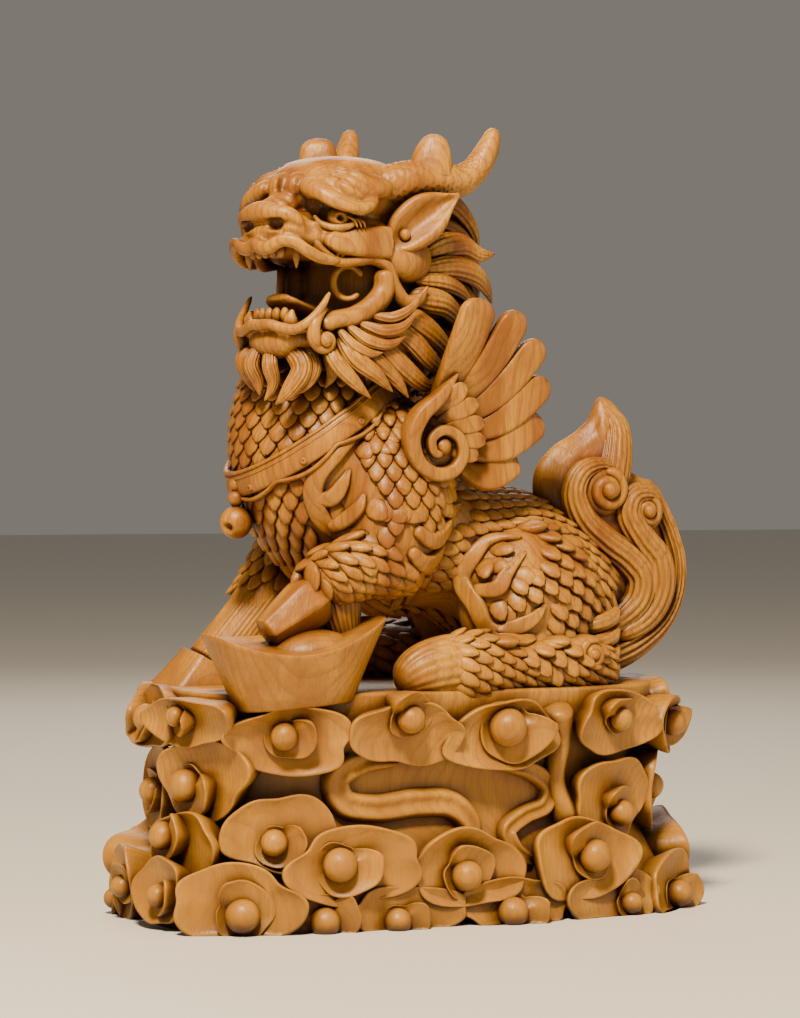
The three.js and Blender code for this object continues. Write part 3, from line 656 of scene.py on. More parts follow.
def carve_ingot():
    bm = bmesh.new()

    def place(radius, height, turn):
        half_x = INGOT_FOOT[0] + (INGOT_RIM[0] - INGOT_FOOT[0]) * height**1.25
        half_y = INGOT_FOOT[1] + (INGOT_RIM[1] - INGOT_FOOT[1]) * height
        x = radius * half_x * squared(np.cos(turn), INGOT_ROUND)
        y = radius * half_y * squared(np.sin(turn), INGOT_ROUND)
        reach = np.clip(np.abs(x / INGOT_RIM[0]), 0, 1)
        climb = np.where(x > 0, 1 - (1 - reach**2) ** 1.5, reach**2.2)
        rim = INGOT_LOW_RIM + (INGOT_TIP - INGOT_LOW_RIM) * climb
        rim = rim + INGOT_PITCH * (y + INGOT_RIM[1]) * (1 - reach**2)
        z = -INGOT_SINK + (rim + INGOT_SINK) * height + INGOT_LEAN * x
        return np.stack([x + INGOT_AT[0], y + INGOT_AT[1], z], axis=1)

    turned(bm, INGOT_WALL, 96, place)
    lump(bm, (INGOT_AT[0] + 4.6, INGOT_AT[1] + 0.5, 7.0), INGOT_DOME, 48, 32)
    new_piece("ingot", bm)


# The body. Sizes along a line are half widths, in the plane of symmetry and sideways.

TRUNK = ((-9, 0, 68), (-15, 0, 56), (-14, 0, 43), (-3, 0, 32), (10, 0, 27.5), (23, 0, 22), (34, 0, 14),
         (40, 0, 6))
TRUNK_IN_PLANE = (13, 19, 20, 17.5, 14.5, 16.5, 15, 9)
TRUNK_SIDEWAYS = (11, 16.5, 18.5, 17, 15.5, 16.5, 15, 9)
NECK = ((-1, -1, 90), (-7, -1, 76), (-11, 0, 62))
SHOULDER = ((-5, -8, 56), (-7, -12.5, 44), (-8, -16.5, 30), (-8, -17, 22))
FOREARM = ((-4, -16, 27), (-13, -18, 25), (-21, -19, 23), (-26, -20, 19))
FETLOCK = ((-21.4, -18.4, 22.5), (-20.6, -18.4, 17), (-19.2, -18.4, 10.5))
STRAIGHT_LEG = ((-5, 8, 56), (-9, 12.5, 42), (-18.6, 13.5, 26), (-28.5, 13, 12))
FAR_HAIR = ((-20.0, 12.9, 22.0), (-27.5, 13.1, 12.8), (-35.8, 13.3, 2.6))
FAR_HOOF = ((-35.8, 13.2, 4.0), (-38.6, 13.3, -0.6), (-41.2, 13.4, -5.0))
HAUNCH = ((22.5, 13, 17.5), (15, 9.8, 15.5))
HIND_FOOT = ((38, 18, 3), (30, 19.5, 4.5), (16, 20.5, 4.5), (4, 21.5, 4), (-9, 22.5, 0))


def carve_body():
    bm = bmesh.new()
    bar(bm, TRUNK, TRUNK_IN_PLANE, TRUNK_SIDEWAYS, sides=64, steps=90, cap=(0.08, 0.1))
    bar(bm, NECK, [15, 15, 16], [13, 14, 16], sides=48, steps=40, cap=(0.15, 0.15))
    bar(bm, SHOULDER, [10, 12.5, 10, 7], [9, 10, 8, 6], sides=48, steps=50, cap=(0.15, 0.12))
    bar(bm, FOREARM, [7.5, 6.5, 6.2, 5.2], [7, 6.2, 6, 5], sides=40, steps=50, cap=(0.15, 0.1))
    bar(bm, STRAIGHT_LEG, [10, 11.5, 7.5, 6], [9, 10, 7, 6], sides=40, steps=60, cap=(0.12, 0.05))
    centre, radii = HAUNCH
    for side in (-1, 1):
        lump(bm, (centre[0], side * centre[1], centre[2]), radii, 48, 32)
        bar(bm, on_side(HIND_FOOT, side), [4, 5.6, 5.6, 6.8, 2.6], [4, 5.4, 5.2, 6, 2.4], sides=36,
            steps=70, cap=(0.06, 0.05))
    fuse(bm, voxel=0.7, rounds=14, keep=0.45)
    skins["body"] = BVHTree.FromBMesh(bm)
    new_piece("body", bm)


def skin(name):
    """The skin of a piece that other pieces sit on."""
    if name not in skins:
        raise RuntimeError(f"The {name} has to be carved first")
    return skins[name]


OUTSIDE = 70  # millimetres from the middle plane, well clear of the body


def on_skin(x, z, side):
    """The place and the normal of the body at x and z, seen from the near side (-1) or the far one (1)."""
    start = Vector((x, side * OUTSIDE, z))
    spot, normal, _, _ = skin("body").ray_cast(start, Vector((0, -side, 0)))
    if spot is None:
        return None
    return np.array(spot), np.array(normal)


# Raised flames, as x and z of their middle lines: a back and the tongues that leave it
FLAMES = (
    ((-16.4, 50), (-20.3, 46.7), (-23.5, 43.3), (-24.6, 39.9), (-23.7, 36.1), (-21.7, 33.1), (-19, 31.4),
     (-15.3, 31.2)),
    ((-24.2, 38), (-21.2, 38.2), (-19.4, 40.8), (-18, 43.8)),
    ((-21.2, 32.3), (-18.5, 33.5), (-16.7, 36.1), (-15.8, 39)),
    ((19.2, 29.8), (12.9, 29), (9.2, 25.6), (7.7, 21.6), (9.5, 16.5), (11.7, 11.8), (16.1, 9.2),
     (20.5, 10)),
    ((9, 19.4), (12.9, 19.8), (14.8, 22.7), (19.2, 27.2)),
    ((12.4, 11), (16.7, 12.3), (19.8, 14), (22.3, 16.8)),
    ((-7.9, 28), (-4.3, 25.2), (-0.4, 27.2), (1.8, 30.5)),
    ((-6.9, 32), (-3, 29.6), (1.8, 32), (4.4, 35.1), (8.3, 36.5)),
)


def flame_lines():
    """The flames of both sides, as places just above the skin and the skin's normals there."""
    for side in (-1, 1):
        for flame in FLAMES:
            seats = [on_skin(x, z, side) for x, z in flame]
            seats = [seat for seat in seats if seat is not None]
            yield [spot + normal * 0.3 for spot, normal in seats], [normal for _, normal in seats]


def carve_flames(sizes):
    bm = bmesh.new()
    for path, normals in flame_lines():
        count = len(path)
        half = [0.8, 1.8, 2.1, 1.8, 1.1] if count > 5 else [1.3, 1.8, 1.4, 0.4]
        bar(bm, path, half, [1.2, 1.7, 1.8, 1.6, 0.9], up=normals, sides=20, steps=9 * count, square=0.7,
            press=hollow_face(sizes.feather_hollow / MM))
    new_piece("flames", bm)


# Scales

SCALE_GRID = (10, 6)  # sides and steps of one scale
SCALE_LENGTH = 0.98  # half a scale's length, as a share of the gap between two rows
SCALE_WIDTH = 0.54  # half its width, as a share of the gap between two scales of a row
SCALE_ROOM = 0.62  # share of the smaller gap that has to be free round a scale
HAUNCH_WAY = (0.42, 0, -0.9)  # the way in which the scales of a haunch point
HAUNCH_ROOM = 2.0  # what has to be free round each of them
FLAME_ROOM = 0.9  # what a flame takes up on each side of its line


def add_scale(bm, spot, normal, towards, length, width, raised, dome):
    """A scale with its root sunk in the skin and its free end raised by a share of its length. dome is
    the share of that rise by which its middle swells."""
    normal = unit(normal[None])[0]
    along = towards - normal * float(towards @ normal)
    along = unit(along[None])[0]
    side = np.cross(normal, along)
    lift = raised * length

    def place(co, row, turn):
        x, y, z = co.T
        reach = x * length * (1 + 0.1 * np.clip(x, 0, 1))
        across = y * width * (1 - 0.12 * np.clip(-x, 0, 1) - 0.3 * np.clip(x, 0, 1) ** 2)
        height = lift * (x * 0.85 + 0.12) + np.where(z > 0, z * lift * dome, z * lift * 1.4)
        return spot + np.outer(reach, along) + np.outer(across, side) + np.outer(height, normal)

    shell(bm, *SCALE_GRID, place)


class Seats:
    """The places that are taken on the body, so that no two scales sit on one another."""

    def __init__(self):
        self.spots = []
        self.reach = []

    def free(self, spot, room):
        if not self.spots:
            return True
        gaps = np.linalg.norm(np.array(self.spots) - spot, axis=1) - np.array(self.reach)
        return bool((gaps > room).all())

    def take(self, spot, reach):
        self.spots.append(spot)
        self.reach.append(reach)


def wrap_scales(bm, sizes, seats, path, rows, columns, far, towards=None, limits=(1.3, 4.2), near=None,
                keep=None):
    """Rings of scales round a path, each seated where a ray from far outside towards the path meets the
    body. They point along the path or towards one direction. limits are the smallest and largest gap
    between rows, near keeps the scales within that distance of the path, and keep those that it picks."""
    shares = even_shares(path, rows)
    centre, _, across, out = frames_along(path, shares, (0, -1, 0))
    hits = {}
    for i in range(rows):
        for j in range(columns):
            angle = 2 * math.pi * (j + 0.5 * (i % 2)) / columns
            ray = across[i] * math.cos(angle) + out[i] * math.sin(angle)
            start = centre[i] + ray * far
            spot, normal, _, _ = skin("body").ray_cast(Vector(start), Vector(-ray), far)
            if spot is None or float(np.array(normal) @ ray) < 0.3:
                continue
            if near is not None and np.linalg.norm(np.array(spot) - centre[i]) > near:
                continue
            hits[i, j] = np.array(spot), np.array(normal)
    for (i, j), (spot, normal) in sorted(hits.items()):
        if keep is not None and not keep(spot):
            continue
        other = hits.get((i + 2, j)) or hits.get((i - 2, j))
        beside = hits.get((i, (j + 1) % columns)) or hits.get((i, (j - 1) % columns))
        if other is None or beside is None:
            continue
        way = (other[0] - spot) * (1 if (i + 2, j) in hits else -1)
        gap = np.linalg.norm(way) / 2
        width = np.linalg.norm(beside[0] - spot)
        if not limits[0] < gap < limits[1] or not limits[0] < width < limits[1] * 1.5:
            continue
        if not seats.free(spot, SCALE_ROOM * min(gap, width)):
            continue
        if towards is not None:
            way = np.asarray(towards, float)
        add_scale(bm, spot, normal, way, gap * SCALE_LENGTH, width * SCALE_WIDTH, sizes.scale_rise,
                  sizes.scale_dome)
        seats.take(spot, 0.0)


def haunch_scales(bm, sizes, seats, side):
    """Diagonal rows of scales on one haunch, seen from its side."""
    centre, radii = HAUNCH
    way = unit(np.array([HAUNCH_WAY]))[0]
    beside = np.array([-way[2], 0, way[0]])
    row_gap, gap = sizes.haunch_row / MM, sizes.haunch_gap / MM
    for i in range(-10, 11):
        for j in range(-7, 8):
            flat = way * i * row_gap + beside * (j + 0.5 * (i % 2)) * gap
            if (flat[0] / radii[0]) ** 2 + (flat[2] / radii[2]) ** 2 > 0.94:
                continue
            seat = on_skin(centre[0] + flat[0], centre[2] + flat[2], side)
            if seat is None or abs(seat[0][1]) < 12:
                continue
            spot, normal = seat
            if seats.free(spot, HAUNCH_ROOM):
                slope = 1 / max(abs(normal[1]), 0.45)
                add_scale(bm, spot, normal, way, row_gap * 0.95 * slope**0.5, gap * 0.53 * slope**0.3,
                          sizes.haunch_rise, 0.6 * sizes.scale_dome)
                seats.take(spot, 0.0)


def carve_scales(sizes):
    bm = bmesh.new()
    seats = Seats()
    for path, _ in flame_lines():
        for spot in curve_points(path, np.linspace(0, 1, 16)):
            seats.take(spot, FLAME_ROOM)
    for side in (-1, 1):
        haunch_scales(bm, sizes, seats, side)
        foot = [(36, side * 18.5, 4), (20, side * 20.5, 4.5), (3, side * 21.6, 4.5)]
        wrap_scales(bm, sizes, seats, foot, 13, 13, far=14, towards=(0.8, 0, -0.45), near=9.5)
    wrap_scales(bm, sizes, seats, FOREARM[:3] + ((-23.5, -19.4, 21.5),), 8, 13, far=14,
                towards=(0.8, -0.1, -0.6), near=9.5)
    leg = ((-13, 13, 36), (-18.6, 13.5, 26), (-26, 13, 16))
    wrap_scales(bm, sizes, seats, leg, 9, 13, far=14, near=10, keep=lambda spot: spot[2] > 21)
    wrap_scales(bm, sizes, seats, ((-7, 0, 78), (-7, 0, 20)), 23, 42, far=45, limits=(1.2, 6.5),
                keep=lambda spot: spot[0] < 0 and spot[2] < 67)
    spine = ((-3, -1, 84), (-8, -1, 75), (-12, 0, 66)) + TRUNK[1:]
    wrap_scales(bm, sizes, seats, spine, 44, 34, far=45, keep=lambda spot: 3.5 < spot[2] < 68)
    new_piece("scales", bm)


# Feet and crest

HOOF = ((-25.4, -19.3, 18.6), (-27.8, -19.9, 17.2), (-32.4, -20.5, 14.2), (-36.7, -20.8, 11.3))
HOOF_FACES = 6


def facets(share, turn):
    """A hoof's flat faces, which meet in crisp edges."""
    face = 2 * math.pi / HOOF_FACES
    return 1.09 * (math.cos(face / 2) / np.cos(np.mod(turn + 0.2, face) - face / 2)) ** 0.85 - 1


def carve_feet():
    bm = bmesh.new()
    bar(bm, HOOF, [4.6, 5.0, 4.1, 3.1], [4.4, 4.8, 4.2, 3.4], up=(0, -1, 0.25), sides=60, steps=32,
        cap=(0.02, 0.02), relief=facets)
    bar(bm, FETLOCK, [5.6, 4.8, 3.4], [4.5, 4.2, 3.4], sides=96, steps=40,
        relief=combed(24, 0.11, ease=0.02), cap=(0.07, 0.02))
    bar(bm, FAR_HAIR, [6.0, 6.3, 6.5], [6.0, 6.2, 6.4], sides=132, steps=40, cap=(0.05, 0.02),
        relief=combed(44, 0.045, ease=0.02))
    bar(bm, FAR_HOOF, [6.6, 7.6, 8.7], [6.4, 7.4, 8.4], sides=60, steps=32, cap=(0.02, 0.01), relief=facets)
    for side in (-1, 1):
        toe = on_side(((8, 21.3, 4.8), (1, 21.8, 4.4), (-5, 22.2, 3.0), (-9.6, 22.6, 0.6)), side)
        bar(bm, toe, [6.2, 6.4, 5.6, 3.4], [6.0, 5.8, 4.9, 3.0], sides=80, steps=48, cap=(0.05, 0.15),
            relief=combed(20, 0.055, ease=0.2))
        for i in range(4):
            z = 13.5 - 3.8 * i
            frill = [(32, side * 17, z - 2), (36, side * 18.5, z - 1.2), (39.5, side * 18, z + 0.2),
                     (41, side * 17.5, z + 2)]
            bar(bm, frill, [1.6, 1.9, 1.7, 0.7], [1.8, 2.2, 1.9, 0.8], sides=32, steps=24,
                relief=combed(8, 0.12))
        spiral(bm, (32, side * 24.2, 6.4), (0, side, 0), 3.6, 1.0, hand=-side, start=90, rise=0.8)
    new_piece("feet", bm)


def carve_crest():
    """The crest along the spine, with its notched edge."""
    bm = bmesh.new()
    line = ((4, 0, 45.5), (11, 0, 43.2), (19, 0, 40.3), (27, 0, 34), (33.5, 0, 25.5), (38, 0, 17))

    def notches(share, turn):
        return 0.5 * (np.abs(np.sin(share * 26)) - 0.5) * np.clip(np.sin(turn), 0, 1)

    bar(bm, line, 1.4, [1.6, 2.2, 2.3, 2.2, 1.6],
        up=[(-0.1, 0, 1), (0.2, 0, 1), (0.4, 0, 1), (0.7, 0, 0.7), (1, 0, 0.4), (1, 0, 0.2)], sides=16,
        steps=160, press=notches)
    new_piece("crest", bm)


# Collar

COLLAR_HEIGHT = 57.0  # above the plateau, where the band passes x = -12
COLLAR_SLOPE = 0.72  # drop towards the chest for each millimetre
COLLAR_SWEEP = 300  # degrees round the neck, open at the back
COLLAR_POINTS = 37
COLLAR_FINE = 145  # points of the scalloped lower rim
SCALLOPS = 10
STUDS = 10


def carve_collar(sizes):
    bm = bmesh.new()
    path, normals = [], []
    for i in range(COLLAR_POINTS):
        turn = math.radians(-COLLAR_SWEEP / 2 + COLLAR_SWEEP * i / (COLLAR_POINTS - 1))
        ray = Vector((-math.cos(turn), math.sin(turn), -COLLAR_SLOPE * math.cos(turn))).normalized()
        middle = Vector((-12, 0, COLLAR_HEIGHT))
        spot, normal, _, _ = skin("body").ray_cast(middle + ray * 60, -ray)
        if spot is None:
            raise RuntimeError("The collar misses the neck")
        path.append(np.array(spot) + np.array(normal) * 0.9)
        normals.append(np.array(normal))
    half = sizes.collar_half / MM
    bar(bm, path, half, 1.1, up=normals, sides=32, steps=220, square=0.6)
    _, _, across, out = frames_along(path, np.linspace(0, 1, COLLAR_POINTS), normals)
    upper = np.array(path) + across * (half - 0.1) + out * 0.6
    second = np.array(path) + across * (half - 1.2) + out * 0.8
    fine = np.linspace(0, 1, COLLAR_FINE)
    scallop = np.abs(np.sin(fine * math.pi * SCALLOPS))
    _, _, across_fine, out_fine = frames_along(path, fine, normals)
    lower = curve_points(path, fine) - across_fine * (half - 0.5 + 1.5 * scallop)[:, None] + out_fine * 0.3
    bar(bm, upper, 0.45, 0.6, up=normals, sides=10, steps=160)
    bar(bm, second, 0.3, 0.45, up=normals, sides=10, steps=160)
    bar(bm, lower, 0.5, 0.9, up=curve_points(normals, fine), sides=10, steps=300)
    front = path[COLLAR_POINTS // 2]
    for drop, radius in ((0.6, 1.5), (3.4, 1.7)):
        lump(bm, (front[0] - 0.6, -1.0, front[2] + 0.6 - drop), (radius,) * 3, 32, 24)
    bell = (front[0] - 0.6, -1.0, front[2] - 7.6)
    drilled_ball(bm, bell, 3.3, (-0.75, -0.55, -0.35))
    for k in range(STUDS):
        share = np.array([(k + 0.5) / STUDS])
        spot, _, cross, rise = frames_along(path, share, normals)
        drilled_ball(bm, spot[0] + rise[0] * 0.6 - cross[0] * 1.2, 0.95, rise[0], sides=24)
    new_piece("collar", bm)


# Wings

# x and z of the feathers' tips and of the coverts' tips, and the feathers' half widths
FEATHER_TIPS = ((7.6, 77.6), (16.4, 75.2), (21.6, 69.4), (23.4, 61.8), (22.8, 54.0), (17.8, 46.2))
FEATHER_WIDTHS = (4.0, 3.25, 3.05, 3.1, 3.2, 3.4)
COVERTS = ((4.6, 60.6), (7.4, 57.2), (8.9, 53.0), (9.2, 49.2), (7.6, 46.0))
LEADING_EDGE = ((3.4, 22.6, 63), (-1.0, 22.8, 58), (-5.2, 22.8, 54.2), (-7.0, 22.4, 49.8),
                (-5.8, 22.2, 45.4), (-2.2, 22.2, 42.8), (1.9, 22.4, 43.4), (4.0, 22.6, 46.6),
                (3.0, 23, 50.0), (-0.3, 23.3, 51.4), (-2.9, 23.5, 49.6), (-2.4, 23.7, 47.0),
                (-0.4, 23.8, 46.6))


def carve_wings(sizes):
    bm = bmesh.new()
    hollow = hollow_face(sizes.feather_hollow / MM)
    for side in (-1, 1):
        up = (0, side, 0)
        for i, ((x, z), w) in enumerate(zip(FEATHER_TIPS, FEATHER_WIDTHS)):
            root = (0.9 * i - 0.6, 16, 54 - 1.7 * i)
            reach = math.hypot(x - root[0], z - root[2])
            sag = (0.4 + 0.6 * i) / reach
            middle = ((root[0] + x) / 2 + sag * (z - root[2]), 22.2 - 0.8 * i,
                      (root[2] + z) / 2 - sag * (x - root[0]))
            tip = (x, 25.2 - 1.3 * i, z)
            bar(bm, on_side((root, middle, tip), side), [1.2, w * 0.62, w * 0.9, w, w * 0.98],
                [1.6, 1.9, 1.9, 1.7], up=(0.3, side, 0.2), sides=32, steps=48, cap=(0.05, 0.13),
                square=0.66, press=hollow)
        for i, (x, z) in enumerate(COVERTS):
            root = (-1.0 + 0.5 * i, 20, 54.5 - 1.7 * i)
            path = [root, ((root[0] + x) / 2, 23.4 - 0.2 * i, (root[2] + z) / 2 + 0.4),
                    (x, 23.6 - 0.2 * i, z)]
            bar(bm, on_side(path, side), [1.1, 1.8, 1.9, 1.4], [1.3, 1.4, 1.2], up=up, sides=24, steps=28,
                cap=(0.05, 0.25), square=0.75, press=hollow)
        bar(bm, on_side(LEADING_EDGE, side), [0.5, 1.4, 1.7, 1.7, 1.6, 1.5, 1.3, 1.2, 1.1, 1.0, 0.9, 0.8],
            [1.2, 2.4, 2.9, 2.9, 2.6, 2.3, 2.0, 1.8, 1.6, 1.4, 1.2, 1.0], up=up, sides=28, steps=130,
            square=0.5)
        lump(bm, (-0.2, side * 22.6, 48.2), (1.9, 2.2, 1.9), 28, 20)
        lump(bm, (-1.0, side * 20.4, 47.6), (5.4, 2.4, 5.4), 36, 24)  # floor of the scroll
        lump(bm, (1, side * 16, 50.5), (7, 6, 8), 36, 24)
    new_piece("wings", bm)


# Tail

TAIL_OUTLINE = ((38, 8), (34, 20), (31, 32), (29.9, 41.1), (30.9, 44.6), (34.7, 48.7), (39.2, 51.4),
                (42.8, 54.6), (45.1, 59.0), (48.4, 57.6), (51, 54.1), (51.5, 50.6), (51, 47), (52.3, 43.5),
                (55, 42), (57.6, 41.2), (58.6, 36.3), (60.6, 32.1), (61.6, 26.8), (61.5, 20.8), (60, 14.9),
                (56, 10), (49, 6))
TAIL_HEART = (46.5, 30.0)  # x and z of the middle that the outline goes round
TAIL_SIDES = 200
TAIL_STEPS = 48
# The two thick strands that roll up below the tip, as x and z from the scroll down
TAIL_STRANDS = (
    ((47.6, 42.4), (43.2, 44.6), (38.6, 43.2), (36.5, 38.8), (38.4, 33.5), (43.5, 28.8), (48.7, 25.3),
     (52.0, 21.4), (51.6, 16.8), (48.0, 13.0), (42, 10)),
    ((56.6, 36.6), (54.2, 38.6), (50.4, 38.2), (48.9, 34.6), (52.0, 29.2), (55.7, 24.6), (56.3, 18.7),
     (53.3, 13.0), (46.2, 8.6)),
)
# The strand that runs down the middle from the tip
TAIL_CROWN = ((45.6, 0.8, 58.2), (48.2, 2.4, 53.0), (47.6, 4.0, 47.6), (46.4, 5.0, 42.4), (46.6, 5.2, 38.4))


def tail_strokes():
    """Grooves that run down the tail's flame from its tip, side by side."""
    tip, low = np.array((46.6, 57.6)), np.array((31.2, 42.4))
    strokes = []
    for side in (-1, 1):
        for i in range(9):
            inward = 1.5 + 1.7 * i
            middle = np.array((37.6, 49.2)) + np.array((0.62, -0.78)) * inward
            end = low + np.array((0.5, -0.86)) * inward * 1.05
            path = [(*(tip - (0, 0.8 * i)), side * 1.6), (*((tip + middle) / 2 + (0.4, -0.5)), side * 3.6),
                    (*middle, side * 4.4), (*end, side * 4.6)]
            strokes.append(([(x, y, z) for x, z, y in path], 0.5, 0.35))
    return strokes


def tail_flame(bm, half):
    """The tail's body: a flame with the outline as its rim, thickest at its heart. half is half that
    thickness in metres."""
    closed = [(x, 0, z) for x, z in TAIL_OUTLINE + TAIL_OUTLINE[:1]]
    rim = curve_points(closed, np.linspace(0, 1, 721))[:, [0, 2]]
    bearing = np.unwrap(np.arctan2(rim[:, 1] - TAIL_HEART[1], rim[:, 0] - TAIL_HEART[0]))
    order = np.argsort(bearing)

    def place(co, row, turn):
        share = np.sin(np.pi * row / TAIL_STEPS)
        level = np.cos(np.pi * row / TAIL_STEPS)
        angle = np.mod(turn - bearing.min(), 2 * math.pi) + bearing.min()
        x = np.interp(angle, bearing[order], rim[order, 0])
        z = np.interp(angle, bearing[order], rim[order, 1])
        y = level * half / MM * (0.75 + 0.25 * level**2)
        middle_x, middle_z = TAIL_HEART
        return np.stack([middle_x + (x - middle_x) * share, y, middle_z + (z - middle_z) * share], axis=1)

    shell(bm, TAIL_SIDES, TAIL_STEPS, place)


def carve_tail(sizes):
    bm = bmesh.new()
    tail_flame(bm, sizes.tail_half)
    sculpt(bm, tail_strokes())
    for side in (-1, 1):
        up = (0, side, 0)
        for strand in TAIL_STRANDS:
            path = [(x, side * (5.4 + 0.9 * math.sin(math.pi * i / (len(strand) - 1))), z)
                    for i, (x, z) in enumerate(strand)]
            bar(bm, path, [0.9, 2.2, 2.9, 3.2, 3.4, 3.2, 2.4], [1.4, 2.2, 2.6, 2.6, 2.4], up=up, sides=48,
                steps=90, relief=combed(12, 0.22))
        spiral(bm, (43.6, side * 6.6, 39.4), (0, side, 0), 5.4, 1.45, turns=1.6, hand=side, start=100,
               rise=1.6)
        spiral(bm, (53.2, side * 5.8, 35.0), (0, side, 0), 4.2, 1.15, turns=1.5, hand=side, start=100,
               rise=1.4)
        lump(bm, (43.6, side * 5.4, 39.4), (5.6, 2.4, 5.6), 40, 28)
        lump(bm, (53.2, side * 4.8, 35.0), (4.4, 2.2, 4.4), 40, 28)
        crown = on_side(TAIL_CROWN, side)
        bar(bm, crown, [0.5, 2.8, 3.7, 3.9, 2.6], [0.6, 1.5, 1.9, 2.0, 1.4], up=(0.2, side, 0), sides=64,
            steps=48, relief=combed(16, 0.17))
    outer = ((38, 0, 4), (46, 0, 5), (53, 0, 8.2), (58.4, 0, 12.8), (61.2, 0, 18.6), (61.6, 0, 25),
             (60, 0, 31), (57.6, 0, 36.6), (56.4, 0, 41))
    bar(bm, outer, [4.2, 4.4, 4.0, 3.3, 3.0, 2.8, 2.6, 1.8], [6.5, 7, 6.6, 6, 5.4, 4.8, 4, 2.6], sides=72,
        steps=120, relief=combed(18, 0.16))
    new_piece("tail", bm)


# Head, in its own frame: x forward to the nose, y to its left, z up

HEAD_YAW = math.radians(25)
HEAD_AT = (-8, -2, 90)
HEAD = Matrix((
    (-math.cos(HEAD_YAW), math.sin(HEAD_YAW), 0, HEAD_AT[0]),
    (-math.sin(HEAD_YAW), -math.cos(HEAD_YAW), 0, HEAD_AT[1]),
    (0, 0, 1, HEAD_AT[2]),
    (0, 0, 0, 1),
))


def head_piece(name, bm):
    """Turns a bmesh drawn in the head's frame into a piece."""
    bmesh.ops.transform(bm, matrix=HEAD, verts=bm.verts[:])
    new_piece(name, bm)


MOUSTACHE = ((24.8, 6.8, 2.0), (24.0, 7.6, 0.0), (22.6, 9.2, -3.4), (19.4, 10.8, -5.5), (16.0, 12.2, -5.2),
             (12.1, 13.4, -4.8), (9.2, 14.2, -6.2), (7.4, 14.6, -10.0), (5.4, 15.6, -13.0),
             (3.2, 17.0, -12.6), (2.0, 18.6, -9.8))
MOUSTACHE_UP = ((0.9, 0.5, 0.1),) + ((0.6, 1, 0),) * 3 + ((0.3, 1, 0),) * 6 + ((0.6, 1, 0.3),)
UPPER_LIP = ((18.4, 11.4, -5.2), (21.8, 11.2, -5.4), (25.0, 10.6, -4.8), (27.2, 9.8, -3.6),
             (29.2, 8.2, -1.9), (30.5, 6.0, -1.6), (31.4, 3.6, -2.9), (31.8, 1.8, -3.0), (31.9, 0, -2.2))
LOWER_LIP = ((22.0, 11.0, -11.4), (24.2, 10.8, -14.6), (26.6, 9.8, -17.4), (28.4, 7.6, -19.0),
             (29.6, 4.8, -18.6), (30.4, 2.4, -17.9), (30.6, 0, -18.0))
CHEEKBONE = ((23.0, 9.6, -1.2), (19, 11.2, -1.4), (14, 12.8, -1.5), (8.4, 14.3, -1.5))
JAW = ((23.6, 9.4, -18.6), (20.4, 10.4, -17.2), (16.0, 11.8, -16.4), (12.0, 13.0, -14.0),
       (9.4, 13.6, -10.6), (9.6, 13.6, -6.4))
BROW = ((21.3, 2.8, 8.9), (22.9, 5.6, 9.2), (22.9, 8.8, 7.9), (21.7, 11.8, 6.0), (19.3, 14.2, 4.7),
        (16.6, 15.4, 4.9), (14.2, 15.4, 6.4), (13.0, 14.8, 8.6))
BROW_UP = ((1, 0.2, 0.2), (1, 0.3, 0.2), (1, 0.6, 0.2), (0.8, 1, 0.1), (0.5, 1, 0)) + ((0.3, 1, 0),) * 3
BROW_BED = ((20.4, 5, 11.4), (18, 9.8, 11.0), (14, 13.4, 9.6), (8.5, 14.8, 9.4))
BROW_HOOD = ((21.2, 2.6, 10.8), (21.0, 7.6, 10.0), (18.8, 11.8, 8.8), (16.2, 13.6, 8.4), (13.4, 13.8, 9.0))
BROW_HOOD_UP = ((1, 0.1, 0.5), (1, 0.4, 0.5), (0.8, 0.8, 0.5), (0.4, 1, 0.4), (0.1, 1, 0.3))
NOSE = ((28.6, -4.6, 0.7), (28.0, -6.4, 1.6), (28.8, -5.8, 3.2), (30.0, -3.2, 3.8), (30.2, 0, 4.2),
        (29.6, 3.2, 3.9), (28.2, 6.0, 3.2), (26.6, 7.2, 1.6), (27.4, 5.6, 0.6))


def head_strokes(brow_lines):
    """The gouge lines of the face, for its left side: path, half width and depth."""
    lines = [
        (((22.4, 5.0, 5.2), (21.8, 8.6, 4.6), (19.6, 12.0, 3.4), (16.8, 14.2, 3.4)), 2.2, 1.7),
        (((24.4, 6.2, 2.6), (22.8, 9.4, 0.6), (20.4, 12.2, 0.0), (17.6, 13.6, 1.0)), 0.9, 0.6),
        (((30.2, 1.9, 1.3), (29.4, 3.6, 1.2), (28.2, 5.0, 1.0)), 1.0, 1.6),
        (((26.2, 7.6, 3.8), (25.2, 8.6, 1.4), (25.6, 9.2, -1.4)), 1.0, 0.9),
        (((24.5, 10.6, -3.0), (27.4, 9.4, -1.6), (29.8, 7.0, 0.0), (31.0, 3.6, -0.8), (31.4, 0.8, -0.6)),
         0.9, 0.7),
        (((24.8, 0.2, 7.2), (24.4, 0.2, 10.0), (22.8, 0.2, 13.0)), 0.8, 0.6),
        (((24.4, 4.2, 6.6), (23.8, 4.8, 8.4), (22.8, 4.6, 10.8)), 0.7, 0.5),
        (((26.6, 0.4, 6.6), (26.0, 2.4, 6.2), (25.0, 4.2, 5.2)), 0.7, 0.5),
        (((16.4, 11.8, -17.2), (20.6, 10.8, -18.6), (24.0, 9.8, -20.0)), 0.8, 0.5),
    ]
    for i in range(brow_lines):  # the fan that is combed over the brow
        share = i / (brow_lines - 1)
        start = (20.4 + 1.2 * share, 3.6 + 2.8 * share, 15.4 - 3.0 * share)
        middle = (16.2 + 4.0 * share, 9.2 + 2.6 * share, 15.2 - 5.0 * share)
        end = (8.6 + 7.8 * share, 13.2 + 3.0 * share, 14.2 - 7.4 * share)
        lines.append(((start, middle, end), 0.36, 0.5))
    return lines


